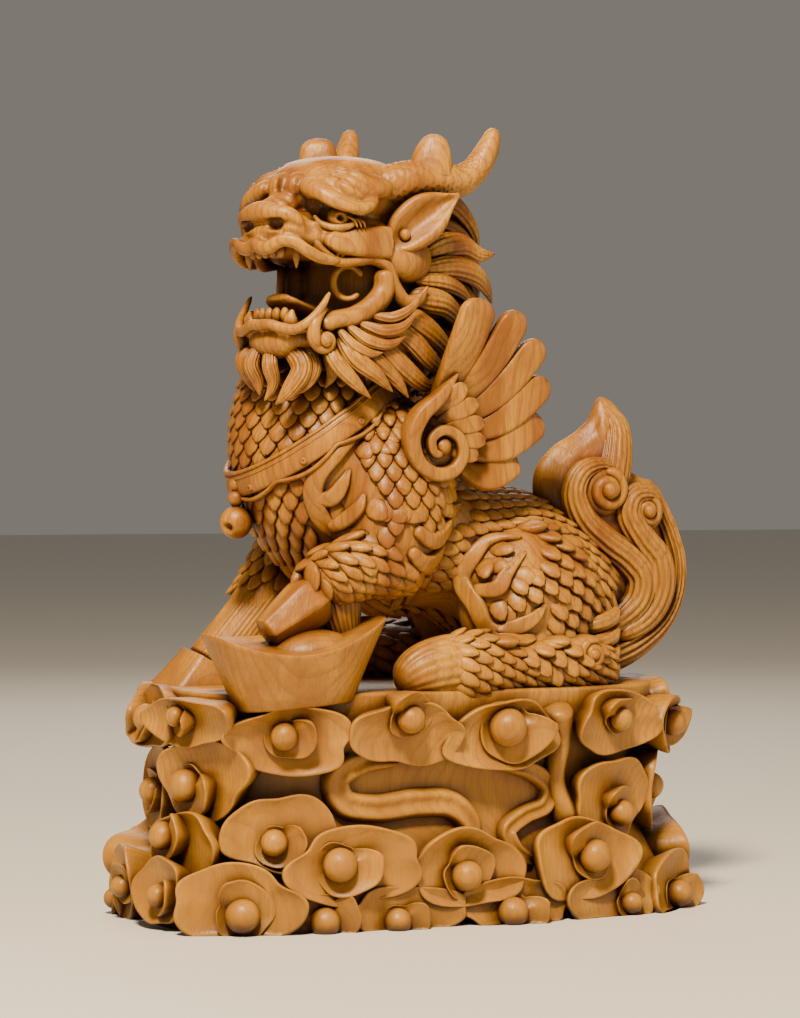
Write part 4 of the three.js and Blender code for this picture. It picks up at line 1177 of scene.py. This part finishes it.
def carve_skull(sizes):
    bm = bmesh.new()
    lump(bm, (0, 0, 3), (15.5, 14.5, 13), 64, 48)
    lump(bm, (9.2, 0, 8.2), (13.6, 13.6, 8.2), 64, 48, square=0.78)  # forehead
    lump(bm, (15, 0, 0.2), (15.0, 10.6, 4.8), 64, 48, square=0.72)  # upper jaw
    lump(bm, (24.5, 0, -0.2), (6.6, 8.6, 3.4), 48, 32, square=0.8)  # muzzle
    bar(bm, ((13, 0, 8.6), (20, 0, 7.6), (28, 0, 4.2)), [6.8, 4.4, 4.0], [3.4, 3.2, 2.6], up=(0, 0, 1),
        sides=32, steps=30)
    bar(bm, NOSE, [0.8, 1.2, 1.6, 1.9, 2.2, 1.9, 1.7, 1.3, 0.8],
        [0.8, 1.2, 1.6, 1.8, 2.1, 1.8, 1.6, 1.3, 0.8], up=(1, 0, 0.2), sides=28, steps=60)
    lump(bm, (4, 0, -10), (9.5, 12, 12.5), 48, 32)  # throat
    lump(bm, (16.5, 0, -20.4), (13.0, 9.4, 3.4), 48, 32, square=0.8)  # lower jaw
    lump(bm, (26.4, 0, -21.0), (3.6, 6.4, 3.6), 32, 24)  # chin
    lump(bm, (12.4, -9.0, -10.0), (3.0, 3.8, 5.2), 32, 24)  # far corner of the mouth
    for side in (1, -1):
        lump(bm, (12, side * 9.5, -0.5), (11, 5.0, 4.8), 40, 28)  # cheek
        bar(bm, on_side(CHEEKBONE, side), [2.0, 2.8, 3.2, 3.3], [2.0, 2.2, 2.3, 2.3], up=(0, side, 0),
            sides=32, steps=30, cap=(0.2, 0.02), square=0.45)
        lump(bm, (22.2, side * 2.3, 9.2), (3.1, 2.4, 3.3), 32, 24)  # lumps between the brows
        lump(bm, (15.6, side * 12.0, 8.8), (5.8, 3.8, 4.0), 40, 28)  # outer bulge of the brow
        bar(bm, on_side(BROW, side), [1.2, 2.1, 2.2, 2.0, 1.7, 1.3, 1.0, 0.3],
            [1.2, 2.0, 2.3, 2.2, 1.9, 1.4, 1.0, 0.4], up=on_side(BROW_UP, side), sides=28, steps=50,
            cap=(0.2, 0.15))
        bar(bm, on_side(BROW_BED, side), [3.0, 3.6, 3.4, 2.6], [2.0, 2.4, 2.4, 2.0],
            up=(0.3, side * 0.6, 1), sides=28, steps=40, cap=(0.2, 0.2))
        bar(bm, on_side(BROW_HOOD, side), [1.8, 2.6, 2.9, 2.6, 1.6], [1.4, 1.7, 1.8, 1.7, 1.4],
            up=on_side(BROW_HOOD_UP, side), sides=32, steps=50, cap=(0.2, 0.2))
        lump(bm, (3.5, side * 14.5, -4.5), (6.0, 3.4, 4.8), 32, 24)  # lobe below the ear
        bar(bm, on_side(JAW, side), [1.9, 2.0, 2.3, 2.4, 2.3, 2.2], 2.2, up=(0, side, 0), sides=28,
            steps=60)
    for lip, size in ((UPPER_LIP, (0.6, 1.0, 1.2, 1.35, 1.4, 1.4, 1.4, 1.4, 1.4)),
                      (LOWER_LIP, (0.5, 0.8, 1.0, 1.1, 1.1, 1.1, 1.1))):
        whole = list(lip) + on_side(lip[:-1], -1)[::-1]
        half = list(size) + list(size[:-1])[::-1]
        ups = [(p[0] - 16, p[1], 0) for p in whole]
        bar(bm, whole, half, [v * 0.95 for v in half], up=ups, sides=28, steps=120, cap=(0.03, 0.03))
    fuse(bm, voxel=0.34, rounds=4, keep=0.5)
    strokes = []
    for path, half, depth in head_strokes(sizes.brow_lines):
        strokes += [(path, half, depth), (on_side(path, -1), half, depth)]
    sculpt(bm, strokes)
    head_piece("skull", bm)


EYELID = ((22.6, 7.0, 3.6), (22.6, 8.8, 1.9), (21.0, 11.4, 1.0), (18.6, 13.2, 1.6), (16.6, 14.0, 3.2))
UPPER_FANG = ((27.0, 6.6, -2.6), (27.0, 6.6, -4.9), (26.8, 6.4, -7.0))
LOWER_FANG = ((27.4, 5.4, -19.0), (27.7, 5.7, -16.8), (27.5, 6.0, -15.0))
# The strand beside the chin, which ends in a scroll
CHIN_CURL = ((22.2, 10.2, -14.6), (24.4, 10.2, -16.2), (25.8, 10.2, -18.4), (25.6, 10.2, -21.0),
             (24.0, 10.2, -22.8))
TONGUE = ((10, 0, -15.6), (16, 0, -15.2), (21, 0, -14.4), (24.4, 0, -13.2), (26.0, 0, -12.0))


def carve_face():
    bm = bmesh.new()
    for side in (1, -1):
        bar(bm, on_side(MOUSTACHE, side), [0.5, 0.8, 1.0, 1.1, 1.15, 1.2, 1.3, 1.3, 1.5, 1.3, 0.4],
            [0.9, 1.1, 1.3, 1.4, 1.4, 1.4, 1.5, 1.5, 1.5, 1.2, 0.5], up=on_side(MOUSTACHE_UP, side),
            sides=20, steps=110)
        drilled_ball(bm, (19.2, side * 10.6, 3.2), 2.5, (0.62, side * 0.78, -0.1), deep=0.6, wide=0.27)
        bar(bm, on_side(EYELID, side), [0.4, 0.7, 0.8, 0.7, 0.3], [0.5, 0.8, 0.9, 0.8, 0.4],
            up=(0.8, side, 0.2), sides=14, steps=50)
        for k in range(3):
            lash = ((19.4 - 0.9 * k, 12.6 + 0.5 * k, 3.4 - 0.3 * k),
                    (18.4 - 0.9 * k, 13.8 + 0.4 * k, 2.6 - 0.2 * k), (18.0 - 0.9 * k, 14.6 + 0.2 * k, 1.0))
            bar(bm, on_side(lash, side), [0.3, 0.34, 0.1], [0.4, 0.5, 0.15], up=(0.4, side, 0), sides=12,
                steps=18)
        bar(bm, on_side(UPPER_FANG, side), [1.0, 0.8, 0.15], [0.9, 0.7, 0.15], up=(1, 0, 0), sides=14,
            steps=20)
        bar(bm, on_side(LOWER_FANG, side), [1.7, 1.4, 0.35], [0.9, 0.9, 0.35], up=(1, 0.4 * side, 0),
            sides=14, steps=24)
        bar(bm, on_side(CHIN_CURL, side), [0.5, 1.0, 1.3, 1.4, 1.0], [0.6, 1.2, 1.4, 1.4, 1.0],
            up=(0.3, side, 0), sides=18, steps=40)
        spiral(bm, (23.4, side * 10.6, -21.2), (0.5, side, 0), 3.2, 0.95, turns=1.5, hand=side, start=100,
               rise=1.2)
        ring = []  # the fold round the corner of the mouth
        for i in range(13):
            turn = math.radians(20 + 300 * i / 12)
            reach = 0.7 * 2.9 * math.cos(turn)
            ring.append((15.4 - reach, side * (9.4 + reach), -9.4 + 3.3 * math.sin(turn)))
        bar(bm, ring, 0.7, 0.8, up=(0.7, side * 0.7, 0), sides=12, steps=60)
    for i in range(5):
        lump(bm, (27.9 - 0.12 * (i - 2) ** 2, 1.9 * (i - 2), -16.2), (0.9, 1.05, 1.7), 16, 12)  # teeth
        lump(bm, (28.9 - 0.1 * (i - 2) ** 2, 1.9 * (i - 2), -3.3), (0.9, 1.05, 1.6), 16, 12)
    bar(bm, TONGUE, [4.4, 4.8, 4.8, 4.4, 2.8], [1.5, 1.5, 1.4, 1.2, 0.8], up=(0, 0, 1), sides=28, steps=50)
    head_piece("face", bm)


HORN = ((9.5, 7.0, 7.4), (6.0, 10.8, 9.8), (1.4, 13.8, 11.4), (-3.5, 16.2, 11.8), (-7.5, 17.5, 11.6),
        (-11.2, 18.6, 13.6), (-14.4, 19.6, 18.0), (-16.2, 20.2, 22.8))
TINE = ((-1.6, 15.6, 12), (-2.0, 16.2, 16.5), (-2.6, 16.8, 20.8))
FAR_TINE = ((1.4, -12.2, 12), (1.5, -12.4, 17), (1.6, -12.8, 21.8))
FAR_HORN_LIFT = 1.5  # what the far horn stands higher at its fifth point
EAR_DEPTH = 3.6
EAR = ((8.0, 14.4, -2.4), (5.6, 16.6, 1.0), (1.6, 19.2, 4.8), (-3.6, 22.2, 8.6))


def pits(rows, round_count, deep):
    """Rows of small pits set like a honeycomb."""

    def press(share, turn):
        row = share * rows
        odd = np.mod(np.floor(row), 2)
        cell = np.sin(np.pi * np.mod(row, 1)) * np.abs(np.sin(round_count * turn / 2 + odd * np.pi / 2))
        rise = np.sin(turn)
        fade = np.clip((0.86 - share) / 0.12, 0, 1)  # the tip stays smooth
        return -deep * np.clip(cell * 1.6 - 0.5, 0, 1) * np.clip(rise * 5, -1, 1) * fade

    return press


def carve_horns(sizes):
    bm = bmesh.new()
    for side in (1, -1):
        lift = FAR_HORN_LIFT if side < 0 else 0
        horn = [(x, side * y, z + lift * i / 4) for i, (x, y, z) in enumerate(HORN)]
        bar(bm, horn, [3.8, 4.3, 4.1, 3.8, 3.4, 3.0, 2.6, 1.6], [4.0, 4.4, 4.2, 3.8, 3.4, 2.9, 2.4, 1.4],
            up=(0, 0, 1), sides=72, steps=120, cap=(0.08, 0.05), press=pits(32, 18, sizes.horn_pits / MM))
    bar(bm, TINE, [4.6, 4.2, 3.4, 2.0], [3.2, 2.8, 2.2, 1.5], up=(0.7, 0.7, 0.3), sides=36, steps=30,
        cap=(0.1, 0.16), square=0.75)
    bar(bm, FAR_TINE, [4.3, 4.1, 3.8, 3.0], [3.0, 2.6, 2.3, 1.7], up=(0.7, 0.7, 0.3), sides=36, steps=30,
        cap=(0.1, 0.2), square=0.6)
    head_piece("horns", bm)


def ear_hollow(share, turn):
    """The hollow of an ear, which runs out at its root and its tip."""
    across = np.exp(-(((turn - math.pi / 2) / 0.62) ** 2))
    return -EAR_DEPTH * across * np.sin(np.pi * np.clip(share * 1.05, 0, 1)) ** 0.6


def carve_ears():
    bm = bmesh.new()
    for side in (1, -1):
        bar(bm, on_side(EAR, side), [2.6, 4.6, 4.4, 0.4], [2.4, 3.0, 2.6, 0.5],
            up=(0.85, side * 0.6, -0.25), sides=56, steps=44, cap=(0.12, 0.02), press=ear_hollow)
        lump(bm, (6.6, side * 16.6, 0.2), (1.2,) * 3, 20, 14)
    head_piece("ears", bm)


# Locks of the beard, and of the mane beside the head on its left: paths and half widths
BEARD = (
    (((26.0, 2.4, -21.5), (25.4, 6.4, -26.4), (27.6, 5.4, -30.6), (29.4, 3.0, -33.8)), 2.3),
    (((24.0, 5.2, -21.5), (23.2, 7.6, -26.0), (24.6, 7.0, -29.4), (26.6, 5.0, -32.0)), 1.7),
    (((27.2, -0.6, -22), (28.6, 0.8, -26.0), (28.0, 1.2, -29.6), (29.6, 0.2, -33.0)), 1.7),
    (((28.2, -3.0, -22), (29.4, -3.6, -25.8), (28.2, -3.0, -29.0), (28.6, -2.0, -31.8)), 1.8),
    (((27.2, -5.6, -22), (28.8, -6.4, -25.4), (27.4, -5.8, -28.6), (27.4, -4.6, -31.0)), 1.7),
    (((20.6, 8.0, -21), (19.6, 8.8, -24.5), (18.2, 7.8, -27.4), (19.0, 6.6, -30.4)), 1.7),
    (((25.0, -8.4, -21.5), (25.8, -9.4, -24.8), (24.4, -8.8, -28), (24.8, -7.4, -30.6)), 1.9),
)
LOCKS = (
    (((-1.3, 13.6, -3.6), (-6.0, 14.8, -1.6), (-11.0, 15.6, -1.0), (-16.0, 16.0, -2.6),
      (-21.2, 16.0, -2.2)), 2.8),
    (((-3.0, 10.5, 3.6), (-8.0, 12.6, 2.9), (-13.0, 13.6, 1.6), (-17.6, 14.0, -1.4)), 2.2),
    (((-5.0, 8.5, 8.0), (-9.5, 10.4, 6.6), (-13.2, 11.6, 4.0), (-16.6, 12.2, 0.2)), 2.2),
    (((1.0, 15.0, -6.6), (-7.4, 16.4, -5.6), (-14.6, 16.4, -6.8), (-19.4, 15.2, -9.4),
      (-22.0, 14.4, -12.4)), 2.5),
    (((2.6, 15.4, -8.6), (-4.0, 16.8, -8.8), (-10.0, 16.8, -10.4), (-14.6, 16.0, -13.4)), 1.8),
    (((3.4, 14.6, -11.6), (0.9, 16.4, -12.4), (-4.2, 17.2, -13.2), (-10.0, 16.2, -16.4),
      (-13.4, 15.2, -20.6)), 2.7),
    (((6.0, 15.4, -15.0), (4.2, 16.9, -16.6), (-0.6, 17.6, -19.4), (-5.6, 17.0, -22.8),
      (-8.0, 16.2, -26.6)), 2.5),
    (((9.6, 15.0, -17.6), (6.4, 17.0, -19.8), (2.0, 17.9, -23.6), (-2.6, 17.4, -26.8), (-4.4, 16.8, -30.4)),
     2.3),
    (((13.2, 14.2, -19.4), (10.8, 16.4, -23.4), (6.4, 17.8, -27.4), (1.4, 17.6, -29.6),
      (-1.2, 17.2, -29.0)), 2.2),
    (((16.8, 12.6, -20.0), (14.2, 15.4, -24.6), (10.0, 17.2, -28.4), (6.8, 18.0, -32.4)), 1.9),
    (((19.6, 11.0, -20.0), (18.6, 14.2, -24.4), (14.8, 16.6, -27.8), (11.0, 17.6, -31.2)), 2.0),
    (((21.6, 9.4, -20.8), (21.8, 12.4, -25.2), (19.2, 14.8, -29.2), (15.2, 15.8, -32.6)), 1.7),
    (((13.4, 14.2, -16.2), (11.0, 17.2, -16.6), (8.0, 19.2, -14.8), (4.6, 20.2, -11.0)), 1.3),
    (((16.4, 13.4, -17.6), (13.4, 16.8, -19.2), (9.8, 18.8, -18.4), (6.6, 20.0, -15.2)), 1.4),
    (((18.6, 12.2, -18.0), (16.2, 15.6, -21.0), (12.4, 17.8, -21.8), (8.8, 19.2, -20.0)), 1.3),
    (((20.2, 11.2, -18.6), (18.8, 14.2, -22.0), (16.2, 16.2, -23.6), (13.6, 17.4, -23.4)), 1.2),
)


def tress(bm, path, half, up, lines, thick=0.56):
    """A lock of hair: a rounded leaf combed with fine lines, which run together to its point."""
    wide = [half * share for share in (0.6, 0.95, 1.0, 0.86, 0.55, 0.08)]
    bar(bm, path, wide, [value * thick + 0.08 for value in wide], up=up, sides=4 * lines, steps=28,
        cap=(0.12, 0.01), relief=combed(lines, 0.11 + 0.12 / half, ease=0.03))


def carve_mane(sizes):
    bm = bmesh.new()
    for side in (1, -1):
        for points, half in LOCKS:
            path = on_side(points, side)
            tress(bm, path, half, [(x * 0.25 - 1, y, z * 0.12 + 1) for x, y, z in path],
                  lines=round((5 + 3 * half) * sizes.hair_lines))
    head_piece("mane", bm)
    bm = bmesh.new()
    back_lines = round(8 * sizes.hair_lines)
    for side in (1, -1):
        for i in range(7):
            z = 10 - 5.2 * i
            path = on_side(((-5, 10.5, z), (-12, 12.4, z - 2.4), (-18, 12.0, z - 7), (-22, 10.5, z - 13)),
                           side)
            tress(bm, path, 3.4, [(-1, 0.9 * side, 0.5)] * 4, lines=back_lines)
        for i in range(6):
            z = 13 - 6.2 * i
            path = on_side(((-5, 4.6, z), (-14, 6.0, z - 3), (-21, 5.8, z - 8.4), (-25, 4.6, z - 15)), side)
            tress(bm, path, 3.6, [(-1, 0.5 * side, 0.7)] * 4, lines=back_lines)
    for i in range(6):
        z = 15 - 6.6 * i
        tress(bm, ((-6, 0, z), (-15, 0.5, z - 3), (-22, -0.5, z - 8.4), (-26, 0.4, z - 15)), 3.8,
              [(-1, 0, 0.8)] * 4, lines=back_lines)
    head_piece("mane_back", bm)


def carve_beard(sizes):
    bm = bmesh.new()
    for path, half in BEARD:
        tress(bm, path, half, (1, 0.2, 0.1), lines=round(14 * sizes.hair_lines), thick=0.7)
    head_piece("beard", bm)


# Boxwood

def add_node(tree, kind, settings=(), inputs=(), links=()):
    """Adds a node, sets its properties and sockets, and links outputs to its sockets."""
    node = tree.nodes.new(kind)
    for name, value in dict(settings).items():
        setattr(node, name, value)
    for name, value in dict(inputs).items():
        node.inputs[name].default_value = value
    for name, output in dict(links).items():
        tree.links.new(output, node.inputs[name])
    return node


PITH = (0.03, 0.11, 0.0)  # the log's middle lies behind the block
DRIFT = (0.008, 0.008, 0.004)  # metres by which the slow noise bends the rings
WAVE_GAP = 0.314  # gap between the rings of a wave texture at a scale of one
GRAIN = (1.0, 1.0, 0.09)  # stretches the fibres up the block
STREAK_SCALE = 130.0  # streaks about 8 mm wide
PALE_FOOT = (0.02, 0.07)  # heights between which the paler foot of the block fades out


def boxwood(wood):
    """Boxwood, hand carved and polished: dense, with hair-thin growth rings, a waxed sheen, and painted
    shade, partly patina, darkening its creases and hollows.
    """
    material = bpy.data.materials.new(WOOD)
    material.use_nodes = True
    tree = material.node_tree
    shader = tree.nodes["Principled BSDF"]
    spot = add_node(tree, "ShaderNodeTexCoord").outputs["Object"]
    slow = add_node(tree, "ShaderNodeTexNoise", inputs={"Scale": 1 / wood.patch, "Detail": 2.0},
                    links={"Vector": spot})
    shift = add_node(tree, "ShaderNodeVectorMath", {"operation": "MULTIPLY_ADD"}, {1: DRIFT, 2: PITH},
                     {0: slow.outputs["Color"]})
    warped = add_node(tree, "ShaderNodeVectorMath", {"operation": "ADD"},
                      links={0: spot, 1: shift.outputs[0]})
    rings = add_node(tree, "ShaderNodeTexWave",
                     {"wave_type": "RINGS", "rings_direction": "Z", "wave_profile": "SAW"},
                     {"Scale": WAVE_GAP / wood.ring_gap, "Distortion": 1.5, "Detail": 2.0,
                      "Detail Scale": 0.06}, {"Vector": warped.outputs[0]})
    long = add_node(tree, "ShaderNodeMapping", inputs={"Scale": GRAIN}, links={"Vector": spot})
    fibre = add_node(tree, "ShaderNodeTexNoise", inputs={"Scale": 1 / wood.fibre, "Detail": 2.0},
                     links={"Vector": long.outputs[0]})
    streak = add_node(tree, "ShaderNodeTexNoise", inputs={"Scale": STREAK_SCALE, "Detail": 3.0},
                      links={"Vector": long.outputs[0]})
    tone = add_node(tree, "ShaderNodeValToRGB", links={"Fac": streak.outputs["Fac"]})
    for stop, place, hue in zip(tone.color_ramp.elements, (0.36, 0.66), (wood.dark, wood.light)):
        stop.position = place
        stop.color = hue
    line = add_node(tree, "ShaderNodeMapRange", {"interpolation_type": "SMOOTHSTEP"},
                    {"From Min": 0.55, "From Max": 1.0, "To Max": wood.ring_strength},
                    {"Value": rings.outputs["Fac"]})
    ringed = add_node(tree, "ShaderNodeMix", {"data_type": "RGBA"}, {7: wood.ring},
                      {0: line.outputs[0], 6: tone.outputs[0]})
    pores = add_node(tree, "ShaderNodeMapRange", inputs={"From Min": 0.45, "From Max": 0.68, "To Max": 0.4},
                     links={"Value": fibre.outputs["Fac"]})
    porous = add_node(tree, "ShaderNodeMix", {"data_type": "RGBA"}, {7: wood.pore},
                      {0: pores.outputs[0], 6: ringed.outputs[2]})
    height = add_node(tree, "ShaderNodeSeparateXYZ", links={"Vector": spot})
    low = add_node(tree, "ShaderNodeMapRange",
                   inputs={"From Min": PALE_FOOT[0], "From Max": PALE_FOOT[1], "To Min": 0.45, "To Max": 0},
                   links={"Value": height.outputs["Z"]})
    paler = add_node(tree, "ShaderNodeMix", {"data_type": "RGBA"}, {7: wood.pale},
                     {0: low.outputs[0], 6: porous.outputs[2]})
    colour = paler
    # Painted shade, partly the dark patina of the hollows: the colour darkens where little light reaches,
    # as ambient occlusion finds it, in fine creases, then in deep hollows
    for reach, full, none, most, hue in ((0.003, 0.25, 0.92, 0.8, wood.crease_shade_and_patina),
                                         (0.014, 0.12, 0.8, 0.9, wood.hollow)):
        # hollow here is the ambient occlusion mask that lays on the painted shade
        hollow = add_node(tree, "ShaderNodeAmbientOcclusion", {"samples": 6}, {"Distance": reach})
        shade = add_node(tree, "ShaderNodeMapRange",
                         inputs={"From Min": full, "From Max": none, "To Min": most, "To Max": 0.0},
                         links={"Value": hollow.outputs["AO"]})
        colour = add_node(tree, "ShaderNodeMix", {"data_type": "RGBA"}, {7: hue},
                          {0: shade.outputs[0], 6: colour.outputs[2]})
    tree.links.new(colour.outputs[2], shader.inputs["Base Color"])
    gloss = add_node(tree, "ShaderNodeMapRange", inputs={"To Min": 0.34, "To Max": 0.52},
                     links={"Value": fibre.outputs["Fac"]})
    tree.links.new(gloss.outputs[0], shader.inputs["Roughness"])
    bump = add_node(tree, "ShaderNodeBump", inputs={"Strength": 0.4, "Distance": 0.0002},
                    links={"Height": fibre.outputs["Fac"]})
    cuts = add_node(tree, "ShaderNodeTexNoise", inputs={"Scale": 1 / wood.cut, "Detail": 1.0},
                    links={"Vector": warped.outputs[0]})
    carved = add_node(tree, "ShaderNodeBump", inputs={"Strength": 0.4, "Distance": wood.cut_depth},
                      links={"Height": cuts.outputs["Fac"], "Normal": bump.outputs[0]})
    tree.links.new(carved.outputs[0], shader.inputs["Normal"])
    shader.inputs["Specular IOR Level"].default_value = 0.32
    shader.inputs["Coat Weight"].default_value = 0.07
    shader.inputs["Coat Roughness"].default_value = 0.3
    return material


# Stage

CAMERA_TARGET = (0, 0, 81.6)
MM_PER_PIXEL = 0.205  # at the target
IMAGE_HEIGHT = 1018  # pixels
SENSOR_HEIGHT = 36.0  # millimetres
FLOOR_HALF = 4.0  # metres


def set_floor(stage):
    """The wide pale floor that the carving stands on."""
    bm = bmesh.new()
    bmesh.ops.create_grid(bm, x_segments=1, y_segments=1, size=FLOOR_HALF)
    floor = bpy.data.meshes.new("floor")
    bm.to_mesh(floor)
    bm.free()
    ground = bpy.data.objects.new("floor", floor)
    bpy.context.scene.collection.objects.link(ground)
    pale = bpy.data.materials.new("pale_floor")
    pale.use_nodes = True
    pale.node_tree.nodes["Principled BSDF"].inputs["Base Color"].default_value = stage.floor
    pale.node_tree.nodes["Principled BSDF"].inputs["Roughness"].default_value = 0.8
    floor.materials.append(pale)


def set_stage(stage):
    scene = bpy.context.scene
    set_floor(stage)
    world = bpy.data.worlds.new("studio")
    world.use_nodes = True
    world.node_tree.nodes["Background"].inputs["Color"].default_value = stage.room
    world.node_tree.nodes["Background"].inputs["Strength"].default_value = stage.room_strength
    scene.world = world
    level = math.cos(stage.rise)
    back = Vector((math.sin(stage.turn) * level, -math.cos(stage.turn) * level, math.sin(stage.rise)))
    target = Vector(CAMERA_TARGET) * MM
    lens = bpy.data.cameras.new("camera")
    lens.sensor_fit = "VERTICAL"
    lens.sensor_height = SENSOR_HEIGHT
    lens.lens = lens.sensor_height * stage.distance / (IMAGE_HEIGHT * MM_PER_PIXEL * MM)
    camera = bpy.data.objects.new("camera", lens)
    camera.location = target + back * stage.distance
    camera.rotation_euler = back.to_track_quat("Z", "Y").to_euler()
    scene.collection.objects.link(camera)
    scene.camera = camera
    lights = (  # name, place and width in metres, power and colour
        ("key", (-0.26, -0.4, 0.62), 0.12, stage.key, stage.key_colour),
        ("fill", (0.55, -0.45, 0.25), 0.5, stage.fill, linear("#FFF0DC")),
        ("rim", (0.15, 0.55, 0.45), 0.3, stage.rim, linear("#FFF4E6")),
    )
    for name, spot, size, watts, hue in lights:
        lamp = bpy.data.lights.new(name, "AREA")
        lamp.size = size
        lamp.energy = watts
        lamp.color = hue[:3]
        light = bpy.data.objects.new(name, lamp)
        light.location = Vector(spot)
        light.rotation_euler = (Vector(spot) - target).to_track_quat("Z", "Y").to_euler()
        scene.collection.objects.link(light)


# Operators, in the order in which main calls them

class CarveBase(bpy.types.Operator):
    """Carves the cloud base with its pearls, ribbons and plateau"""

    bl_idname = "qilin.base"
    bl_label = "Clouds"

    def execute(self, context):
        carve_base(context.scene.qilin_carving_sizes)
        return {"FINISHED"}


class CarveIngot(bpy.types.Operator):
    """Carves the boat-shaped ingot under the left fore hoof"""

    bl_idname = "qilin.ingot"
    bl_label = "Ingot"

    def execute(self, context):
        carve_ingot()
        return {"FINISHED"}


class CarveBody(bpy.types.Operator):
    """Carves the trunk, the neck and the legs as one skin"""

    bl_idname = "qilin.body"
    bl_label = "Body"

    def execute(self, context):
        carve_body()
        return {"FINISHED"}


class CarveFlames(bpy.types.Operator):
    """Carves the raised flames on the shoulders and haunches"""

    bl_idname = "qilin.flames"
    bl_label = "Flames"

    def execute(self, context):
        carve_flames(context.scene.qilin_carving_sizes)
        return {"FINISHED"}


class CarveScales(bpy.types.Operator):
    """Seats the scales on the body, clear of the flames"""

    bl_idname = "qilin.scales"
    bl_label = "Scales"

    def execute(self, context):
        carve_scales(context.scene.qilin_carving_sizes)
        return {"FINISHED"}


class CarveFeet(bpy.types.Operator):
    """Carves the hooves, the fetlock hair and the hind toes"""

    bl_idname = "qilin.feet"
    bl_label = "Feet"

    def execute(self, context):
        carve_feet()
        return {"FINISHED"}


class CarveCrest(bpy.types.Operator):
    """Carves the notched crest along the spine"""

    bl_idname = "qilin.crest"
    bl_label = "Crest"

    def execute(self, context):
        carve_crest()
        return {"FINISHED"}


class CarveCollar(bpy.types.Operator):
    """Carves the collar with its studs and its bell"""

    bl_idname = "qilin.collar"
    bl_label = "Collar"

    def execute(self, context):
        carve_collar(context.scene.qilin_carving_sizes)
        return {"FINISHED"}


class CarveWings(bpy.types.Operator):
    """Carves the two wings with their scrolled leading edges"""

    bl_idname = "qilin.wings"
    bl_label = "Wings"

    def execute(self, context):
        carve_wings(context.scene.qilin_carving_sizes)
        return {"FINISHED"}


class CarveTail(bpy.types.Operator):
    """Carves the flame-shaped tail with its scrolls"""

    bl_idname = "qilin.tail"
    bl_label = "Tail"

    def execute(self, context):
        carve_tail(context.scene.qilin_carving_sizes)
        return {"FINISHED"}


class CarveSkull(bpy.types.Operator):
    """Carves the head with its brows, nose, jaws and lips"""

    bl_idname = "qilin.skull"
    bl_label = "Head"

    def execute(self, context):
        carve_skull(context.scene.qilin_carving_sizes)
        return {"FINISHED"}


class CarveFace(bpy.types.Operator):
    """Carves the eyes, the teeth, the tongue and the moustache"""

    bl_idname = "qilin.face"
    bl_label = "Face"

    def execute(self, context):
        carve_face()
        return {"FINISHED"}


class CarveHorns(bpy.types.Operator):
    """Carves the two pitted horns with their tines"""

    bl_idname = "qilin.horns"
    bl_label = "Horns"

    def execute(self, context):
        carve_horns(context.scene.qilin_carving_sizes)
        return {"FINISHED"}


class CarveEars(bpy.types.Operator):
    """Carves the two hollowed ears"""

    bl_idname = "qilin.ears"
    bl_label = "Ears"

    def execute(self, context):
        carve_ears()
        return {"FINISHED"}


class CarveMane(bpy.types.Operator):
    """Carves the locks of the mane"""

    bl_idname = "qilin.mane"
    bl_label = "Mane"

    def execute(self, context):
        carve_mane(context.scene.qilin_carving_sizes)
        return {"FINISHED"}


class CarveBeard(bpy.types.Operator):
    """Carves the locks of the beard"""

    bl_idname = "qilin.beard"
    bl_label = "Beard"

    def execute(self, context):
        carve_beard(context.scene.qilin_carving_sizes)
        return {"FINISHED"}


class SetStage(bpy.types.Operator):
    """Sets the floor, the lights and the camera"""

    bl_idname = "qilin.stage"
    bl_label = "Stage"

    def execute(self, context):
        set_stage(context.scene.qilin_stage)
        return {"FINISHED"}


STEPS = (
    CarveBase,
    CarveIngot,
    CarveBody,
    CarveFlames,
    CarveScales,
    CarveFeet,
    CarveCrest,
    CarveCollar,
    CarveWings,
    CarveTail,
    CarveSkull,
    CarveFace,
    CarveHorns,
    CarveEars,
    CarveMane,
    CarveBeard,
    SetStage,
)
GROUPS = (
    ("qilin_carving_sizes", CarvingSettings),
    ("qilin_wood", WoodSettings),
    ("qilin_stage", StageSettings),
)


class SidebarPanel(bpy.types.Panel):
    """The steps of the carving, with their sizes and colours"""

    bl_idname = "QILIN_PT_sidebar"
    bl_label = "Boxwood qilin"
    bl_space_type = "VIEW_3D"
    bl_region_type = "UI"
    bl_category = "Qilin"

    def draw(self, context):
        for name, group in GROUPS:
            box = self.layout.box()
            for setting in group.__annotations__:
                box.prop(getattr(context.scene, name), setting)
        for step in STEPS:
            self.layout.operator(step.bl_idname)


CLASSES = tuple(group for _, group in GROUPS) + STEPS + (SidebarPanel,)


def register():
    for cls in CLASSES:
        bpy.utils.register_class(cls)
    for name, group in GROUPS:
        setattr(bpy.types.Scene, name, PointerProperty(type=group))


def unregister():
    for name, _ in GROUPS:
        delattr(bpy.types.Scene, name)
    for cls in reversed(CLASSES):
        bpy.utils.unregister_class(cls)


def main():
    register()
    for step in STEPS:
        getattr(bpy.ops.qilin, step.bl_idname.split(".")[1])()


if __name__ == "__main__":
    main()
